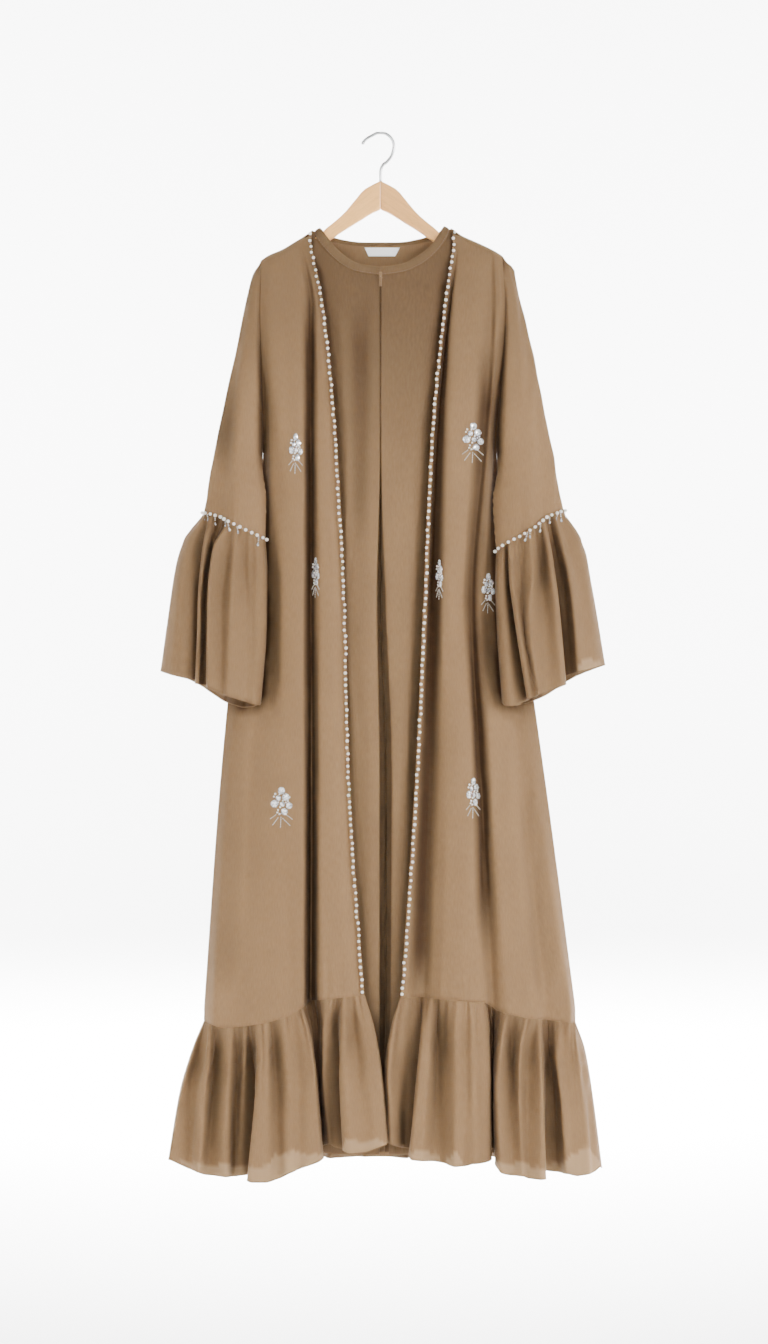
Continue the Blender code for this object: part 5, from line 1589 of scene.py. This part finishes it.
class ABAYA_OT_sleeve_beading(bpy.types.Operator):
    """Make the beads and drops round the slanted seams of the sleeves"""
    bl_idname = "abaya.sleeve_beading"
    bl_label = "Sleeve beading"

    def execute(self, context):
        for side in SIDES:
            grid = sleeve_grid(side)
            outward = facing(grid, from_axis(grid))
            seam, normal = grid[:, -1], unit(outward[:, -2] * [1, 1, 0])
            stands = ((1.3, 1.8), (1.6, 0.0), (1.3, -1.6))
            band = np.stack([seam + normal * out + [0, 0, up] for out, up in stands], axis=1)
            band[-1] = band[0]
            made = wall("cuff_edging_" + side, band, from_axis(band), CUFF_EDGING_WALL)
            give(made, cloth_material(), ("sleeve_bead_" + side,))
            line = seam + normal * 1.9
            lay_beads("cuff", side, line, normal, True, 0.0, " cuff beads", swell=1.08)
            self.make_drops(side, line, normal)
        return {"FINISHED"}

    def make_drops(self, side, line, normal):
        """Short threads of tiny beads, each with a drop at its end."""
        rng = random.Random(side + " drops")
        front = np.flatnonzero(normal[:, 1] < 0)
        behind = np.flatnonzero(normal[:, 1] > 0.2)
        steps = [int(front[np.argmin(np.abs(line[front, 0] - x))]) for x in DROPS[side]]
        steps += [int(i) for i in behind[4::9]]
        tiny, drops = [], []
        for step in steps:
            out = normal[step]
            start = line[step] + out * 2.4 + [0, 0, -2.0]
            count, size = (3, 7.4) if rng.random() < 0.5 else (2, 6.2)
            lean = unit(np.array([rng.uniform(-0.45, 0.25), 0, -1.0]))
            for number in range(count):
                tiny.append(round_frame(start + lean * (number * TINY_STEP), 1.1))
            tip = start + lean * (count * TINY_STEP - 1.2)
            aside = unit(np.cross(lean, [0.0, 1.0, 0.0]))
            drops.append((tip, size * np.array([aside, np.cross(aside, lean), -lean])))
        sewn("cuff_tiny_beads_" + side, bead_shape(), tiny, "bugle_bead")
        sewn("cuff_drops_" + side, drop_shape(), drops, "crystal")


# A bouquet on the cloth, in millimetres from its centre: crystals, small beads and stems
Crystal = namedtuple("Crystal", "x up size")
CRYSTALS = rows_of(
    Crystal, (1.0, 25.5, 10.6), (7.6, 16.0, 11.0), (-9.4, 5.8, 11.6), (12.4, 3.4, 9.8),
    (5.2, -5.6, 10.4), (-3.6, 14.4, 8.0), (2.2, 5.4, 7.4),
)
SMALL_BEADS = rows_of(
    Crystal, (-8.4, 20.6, 3.4), (-10.2, 16.6, 3.0), (-2.0, 20.0, 2.4), (-4.0, 8.2, 2.6),
    (7.6, 8.2, 2.4), (-1.0, 1.0, 3.0), (-4.2, -3.2, 2.8), (10.6, 10.2, 2.2),
    (-1.6, -9.0, 2.6), (3.0, 10.8, 2.6), (13.0, 16.0, 2.2), (-5.6, -7.0, 2.6),
)
# A stem's foot by the flowers and its tip: x and height of each
STEMS = (
    ((-6.6, -9.8), (-16.0, -16.6)), ((-3.6, -14.0), (-12.6, -26.0)),
    ((0.2, -12.6), (-0.8, -29.5)), ((2.2, -15.0), (14.2, -26.6)),
    ((7.4, -9.6), (17.6, -17.2)), ((-5.4, -1.6), (-2.6, -11.0)),
)
BOUQUET_WIDTH = 34.0
RODS = 5               # bugle beads in a stem


def cloth_tree(name):
    """The facets of a finished piece, for laying beads on it."""
    bm = bmesh.new()
    bm.from_mesh(bpy.data.objects[name].data)
    tree = BVHTree.FromBMesh(bm)
    bm.free()
    return tree


class ABAYA_OT_bouquets(bpy.types.Operator):
    """Make the beaded bouquets on the fronts"""
    bl_idname = "abaya.bouquets"
    bl_label = "Bouquets"

    def execute(self, context):
        trees = {side: cloth_tree("outer_front_" + side) for side in SIDES}
        for bouquet in BOUQUETS:
            self.make_bouquet(bouquet, trees[bouquet.side])
        return {"FINISHED"}

    def make_bouquet(self, bouquet, tree):
        narrow = min(bouquet.width / BOUQUET_WIDTH * 1.06, 1.0)

        def laid(x, up):
            """A point on the front of the cloth and its normal."""
            start = Vector((bouquet.x + x * narrow, -200.0, up - bouquet.drop)) * MM
            hit, normal, _, _ = tree.ray_cast(start, Vector((0, 1, 0)))
            if hit is None:
                raise RuntimeError(bouquet.name + " lies beyond its front")
            return np.array(hit) / MM, np.array(normal)

        def axes(x, up, size):
            """Centre and axes of a bead that lies on the cloth and is seen at its width."""
            centre, normal = laid(x, up)
            before, after = laid(x - 1.5, up)[0], laid(x + 1.5, up)[0]
            across = after - before
            stretch = min(np.linalg.norm(across) / max(abs(across[0]), 0.4), 2.2)
            across = unit(across)
            rise = unit(np.cross(normal, across))
            return centre, across * size / 2 * narrow * stretch, rise * size / 2, normal

        crystals, small, rods = [], [], []
        for item in CRYSTALS:
            centre, across, rise, normal = axes(item.x, item.up, item.size)
            axes_up = np.array([across, rise, normal * item.size * 0.26])
            crystals.append((centre + normal * 0.9, axes_up))
        for item in SMALL_BEADS:
            centre, normal = laid(item.x, item.up)
            small.append(round_frame(centre + normal * item.size * 0.35, item.size / 2))
        for stem in STEMS:
            foot, tip = np.array(stem)
            ends = [foot + (tip - foot) * number / RODS for number in range(RODS + 1)]
            for near, far in zip(ends, ends[1:]):
                start, normal = laid(*near)
                end = laid(*far)[0]
                along = (end - start) / 2 * 0.96
                side = unit(np.cross(along, normal))
                rods.append(((start + end) / 2 + normal * 0.8,
                             np.array([along, side * 0.75, normal * 0.75])))
        name = bouquet.name.replace
        sewn(name("motif", "crystals"), crystal_shape(), crystals, "crystal",
             replaced=(bouquet.name,), smooth=False)
        sewn(name("motif", "small_beads"), bead_shape(), small, "pearl")
        sewn(name("motif", "stems"), bead_shape(), rods, "bugle_bead")


# The blank label's corners: x at its ends, drop of its upper and lower edge
LABEL_UPPER = (-24.0, 29.0, 169.4)
LABEL_LOWER = (-18.0, 22.0, 182.5)
LABEL_DEPTH = 7.4


class ABAYA_OT_label(bpy.types.Operator):
    """Make the blank label inside the back neck"""
    bl_idname = "abaya.label"
    bl_label = "Label"

    def execute(self, context):
        across, down = np.meshgrid(np.linspace(0, 1, 25), np.linspace(0, 1, 9), indexing="ij")
        upper, lower = np.array(LABEL_UPPER), np.array(LABEL_LOWER)
        left, right, drop = (upper + (lower - upper) * down[..., None]).transpose(2, 0, 1)
        depth = LABEL_DEPTH - 0.35 * np.sin(math.pi * across) * down
        grid = np.stack([left + (right - left) * across, depth, -drop], axis=-1)
        made = wall("neck_label", grid, TOWARDS_VIEWER, LABEL_WALL)
        give(made, label_material(), ("label",))
        axes = np.diag([1.3, 0.3, 0.3])
        corners = [((x, LABEL_DEPTH - 0.4, -170.6), axes) for x in (-22.5, 27.3)]
        stitches = sewn("label_stitches", bead_shape(), corners, "thread")
        return {"FINISHED"}


ARMS_MEET = 0.04       # each arm's end from the middle
HOOK_WIRE = 4.7


def arm_outline(side):
    """The arm's outline with its corners softened, in metres."""
    sign = -1 if side == "left" else 1
    corners = [np.array([sign * (ARMS_MEET - x), -drop]) for x, drop in ARM_OUTLINE]
    points = []
    for i, here in enumerate(corners):
        if here[0] * sign < 1.0:
            points.append(here)
        else:
            beside = (corners[i - 1], corners[(i + 1) % len(corners)])
            points += [here + (other - here) * 0.25 for other in beside]
    return [(x * MM, z * MM) for x, z in points]


HOOK_ANGLES = range(0, 101, 20)      # round the crown, before the hook runs out flatter
HOOK_END = ((-12.4, 2.4), (-18.4, 5.6), (-23.2, 9.4), (-26.4, 13.6))


class ABAYA_OT_hanger(bpy.types.Operator):
    """Make the hanger's two wooden arms and its bent wire hook"""
    bl_idname = "abaya.hanger"
    bl_label = "Hanger"

    def execute(self, context):
        for side, tilt, share in (("left", 0.62, 1.1), ("right", -0.62, 0.86)):
            self.make_arm(side, wood_material("beech_" + side, tilt, share))
        self.make_hook()
        return {"FINISHED"}

    def make_arm(self, side, material):
        outline = arm_outline(side)
        half = WOOD / 2 * MM
        deselect_all()
        bpy.ops.mesh.primitive_circle_add(vertices=len(outline), radius=0.1, fill_type="NGON")
        made = bpy.context.active_object
        for corner, (x, z) in zip(made.data.vertices, outline):
            corner.co = (x, -half, z)
        bpy.ops.object.mode_set(mode="EDIT")
        bpy.ops.mesh.select_all(action="SELECT")
        bpy.ops.mesh.extrude_region_move(TRANSFORM_OT_translate={"value": (0, 2 * half, 0)})
        bpy.ops.mesh.select_all(action="SELECT")
        bpy.ops.mesh.normals_make_consistent(inside=False)
        bpy.ops.object.mode_set(mode="OBJECT")
        edge = made.modifiers.new("rounding", "BEVEL")
        edge.width = 2.6 * MM
        edge.segments = 5
        edge.limit_method = "ANGLE"
        edge.angle_limit = math.radians(60)
        apply_modifier(made, "rounding")
        bpy.ops.object.shade_smooth_by_angle(angle=math.radians(35))
        made.name = "wooden_arm_" + side
        made.data.name = made.name
        give(made, material, ("hanger_arm_" + side,))

    def make_hook(self):
        centre_drop = HOOK_RADIUS - WIRE / 2
        route = list(HOOK_SHANK)
        for angle in map(math.radians, HOOK_ANGLES):
            route.append((HOOK_RADIUS * math.cos(angle),
                          centre_drop - HOOK_RADIUS * math.sin(angle)))
        route += HOOK_END
        runs = run_across(route)
        at = np.linspace(0, runs[-1], 140)
        line = curve_through(runs, [(x, 0.0, -drop) for x, drop in route], at)
        line[0, 2] -= 3.0
        made = tube("wire_hook", line, HOOK_WIRE / 2, 16)
        tip = copies("hook_tip", bead_shape(), [round_frame(line[-1], HOOK_WIRE / 2 * 1.15)])
        chrome = metal_material("hook_chrome", colours().chrome, 0.14)
        give(made, chrome, ("hanger_hook",))
        give(tip, chrome)


class ABAYA_OT_zip(bpy.types.Operator):
    """Finish the zip's slider and pull"""
    bl_idname = "abaya.zip"
    bl_label = "Zip"

    def execute(self, context):
        metal = metal_material("zip_enamel", colours().zip, 0.35)
        for node in ("zip_slider", "zip_pull"):
            coat(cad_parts[node], metal)
        return {"FINISHED"}


# The camera stands square to the garment, and its frame is 768 by 1344 pixels of 1.5 mm
CAMERA_DISTANCE = 4.6
FRAME_HEIGHT = 1344 * 1.5 * MM
FRAME_CENTRE = (5.25 * MM, -807 * MM)
SENSOR = 36.0
FLOOR_DROP = 1.95
# The backdrop's section: radius and height
BOWL = ((0, 0), (9, 0), (10.2, 0.12), (11.2, 0.6), (11.8, 1.5), (12, 2.6), (12, 12))


class ABAYA_OT_stage(bpy.types.Operator):
    """Make the pale floor and backdrop, the soft lights and the camera"""
    bl_idname = "abaya.stage"
    bl_label = "Stage"

    def execute(self, context):
        self.make_backdrop()
        self.make_lights()
        self.make_camera()
        return {"FINISHED"}

    def make_backdrop(self):
        """A round floor that turns up into a wall all round, in one sweep."""
        segments = 96
        verts, faces = [(0.0, 0.0, -FLOOR_DROP)], []
        for radius, height in BOWL[1:]:
            for angle in 2 * math.pi * np.arange(segments) / segments:
                x, y = radius * math.cos(angle), radius * math.sin(angle)
                verts.append((x, y, height - FLOOR_DROP))
        for i in range(segments):
            after = (i + 1) % segments
            faces.append((0, 1 + i, 1 + after))
            for ring in range(len(BOWL) - 2):
                low, high = 1 + ring * segments, 1 + (ring + 1) * segments
                faces.append((low + i, high + i, high + after, low + after))
        mesh = bpy.data.meshes.new("backdrop")
        mesh.from_pydata(verts, [], faces)
        mesh.shade_smooth()
        made = make_object("backdrop", mesh)
        mesh.materials.append(finished("backdrop_paper"))

    def make_lights(self):
        world = bpy.data.worlds.new("studio")
        bpy.context.scene.world = world
        world.use_nodes = True
        sky = world.node_tree.nodes["Background"]
        sky.inputs["Color"].default_value = (1.0, 1.0, 1.0, 1.0)
        sky.inputs["Strength"].default_value = 0.12
        for name, place, target, size, power in LIGHTS:
            lamp = bpy.data.lights.new(name, "AREA")
            lamp.shape = "DISK"
            lamp.size = size
            lamp.energy = power
            if name == "floor":
                lamp.spread = math.radians(72)      # so that none falls on the garment
            aim = Vector(target) - Vector(place)
            make_object(name, lamp, place, aim.to_track_quat("-Z", "Y").to_euler())

    def make_camera(self):
        data = bpy.data.cameras.new("camera")
        data.sensor_width = SENSOR
        data.lens = SENSOR * CAMERA_DISTANCE / FRAME_HEIGHT
        place = (FRAME_CENTRE[0], -CAMERA_DISTANCE, FRAME_CENTRE[1])
        bpy.context.scene.camera = make_object("camera", data, place, (math.pi / 2, 0, 0))


# Lights: name, place, target, diameter, power
LIGHTS = (
    ("key", (4.2, -3.6, 0.4), (0, 0, -0.95), 1.6, 245.0),
    ("fill", (-2.0, -5.0, -0.2), (0, 0, -1.0), 2.6, 55.0),
    ("wall left", (-4.5, 4.0, 2.0), (-3.0, 12.0, -0.6), 3.0, 3500.0),
    ("wall right", (4.5, 4.0, 2.0), (3.0, 12.0, -0.6), 3.0, 3500.0),
    ("floor", (0.0, 3.4, 4.0), (0.0, 3.4, -1.95), 3.0, 1000.0),
)

OPERATORS = (
    ABAYA_OT_back, ABAYA_OT_fronts, ABAYA_OT_inner_fronts, ABAYA_OT_neckband, ABAYA_OT_sleeves,
    ABAYA_OT_cuff_ruffles, ABAYA_OT_hem_ruffles, ABAYA_OT_front_beading, ABAYA_OT_sleeve_beading,
    ABAYA_OT_bouquets, ABAYA_OT_label, ABAYA_OT_hanger, ABAYA_OT_zip, ABAYA_OT_stage,
)


class ABAYA_PT_panel(bpy.types.Panel):
    """Lists the pieces, sizes and colours of the abaya"""
    bl_idname = "ABAYA_PT_panel"
    bl_label = "Abaya"
    bl_space_type = "VIEW_3D"
    bl_region_type = "UI"
    bl_category = "Abaya"

    def draw(self, context):
        for operator in OPERATORS:
            self.layout.operator(operator.bl_idname)
        for group in (context.scene.abaya_sizes, context.scene.abaya_colours):
            box = self.layout.box()
            for name in group.bl_rna.properties.keys():
                if name not in ("rna_type", "name"):
                    box.prop(group, name)


CLASSES = (AbayaSizes, AbayaColours, *OPERATORS, ABAYA_PT_panel)


def register():
    for item in CLASSES:
        bpy.utils.register_class(item)
    bpy.types.Scene.abaya_sizes = bpy.props.PointerProperty(type=AbayaSizes)
    bpy.types.Scene.abaya_colours = bpy.props.PointerProperty(type=AbayaColours)


def unregister():
    del bpy.types.Scene.abaya_colours
    del bpy.types.Scene.abaya_sizes
    for item in reversed(CLASSES):
        bpy.utils.unregister_class(item)


def main():
    register()
    bpy.ops.abaya.stage()
    bpy.ops.abaya.hanger()
    bpy.ops.abaya.back()
    bpy.ops.abaya.inner_fronts()
    bpy.ops.abaya.fronts()
    bpy.ops.abaya.neckband()
    bpy.ops.abaya.sleeves()
    bpy.ops.abaya.cuff_ruffles()
    bpy.ops.abaya.hem_ruffles()
    bpy.ops.abaya.front_beading()
    bpy.ops.abaya.sleeve_beading()
    bpy.ops.abaya.bouquets()
    bpy.ops.abaya.label()
    bpy.ops.abaya.zip()


if __name__ == "__main__":
    main()
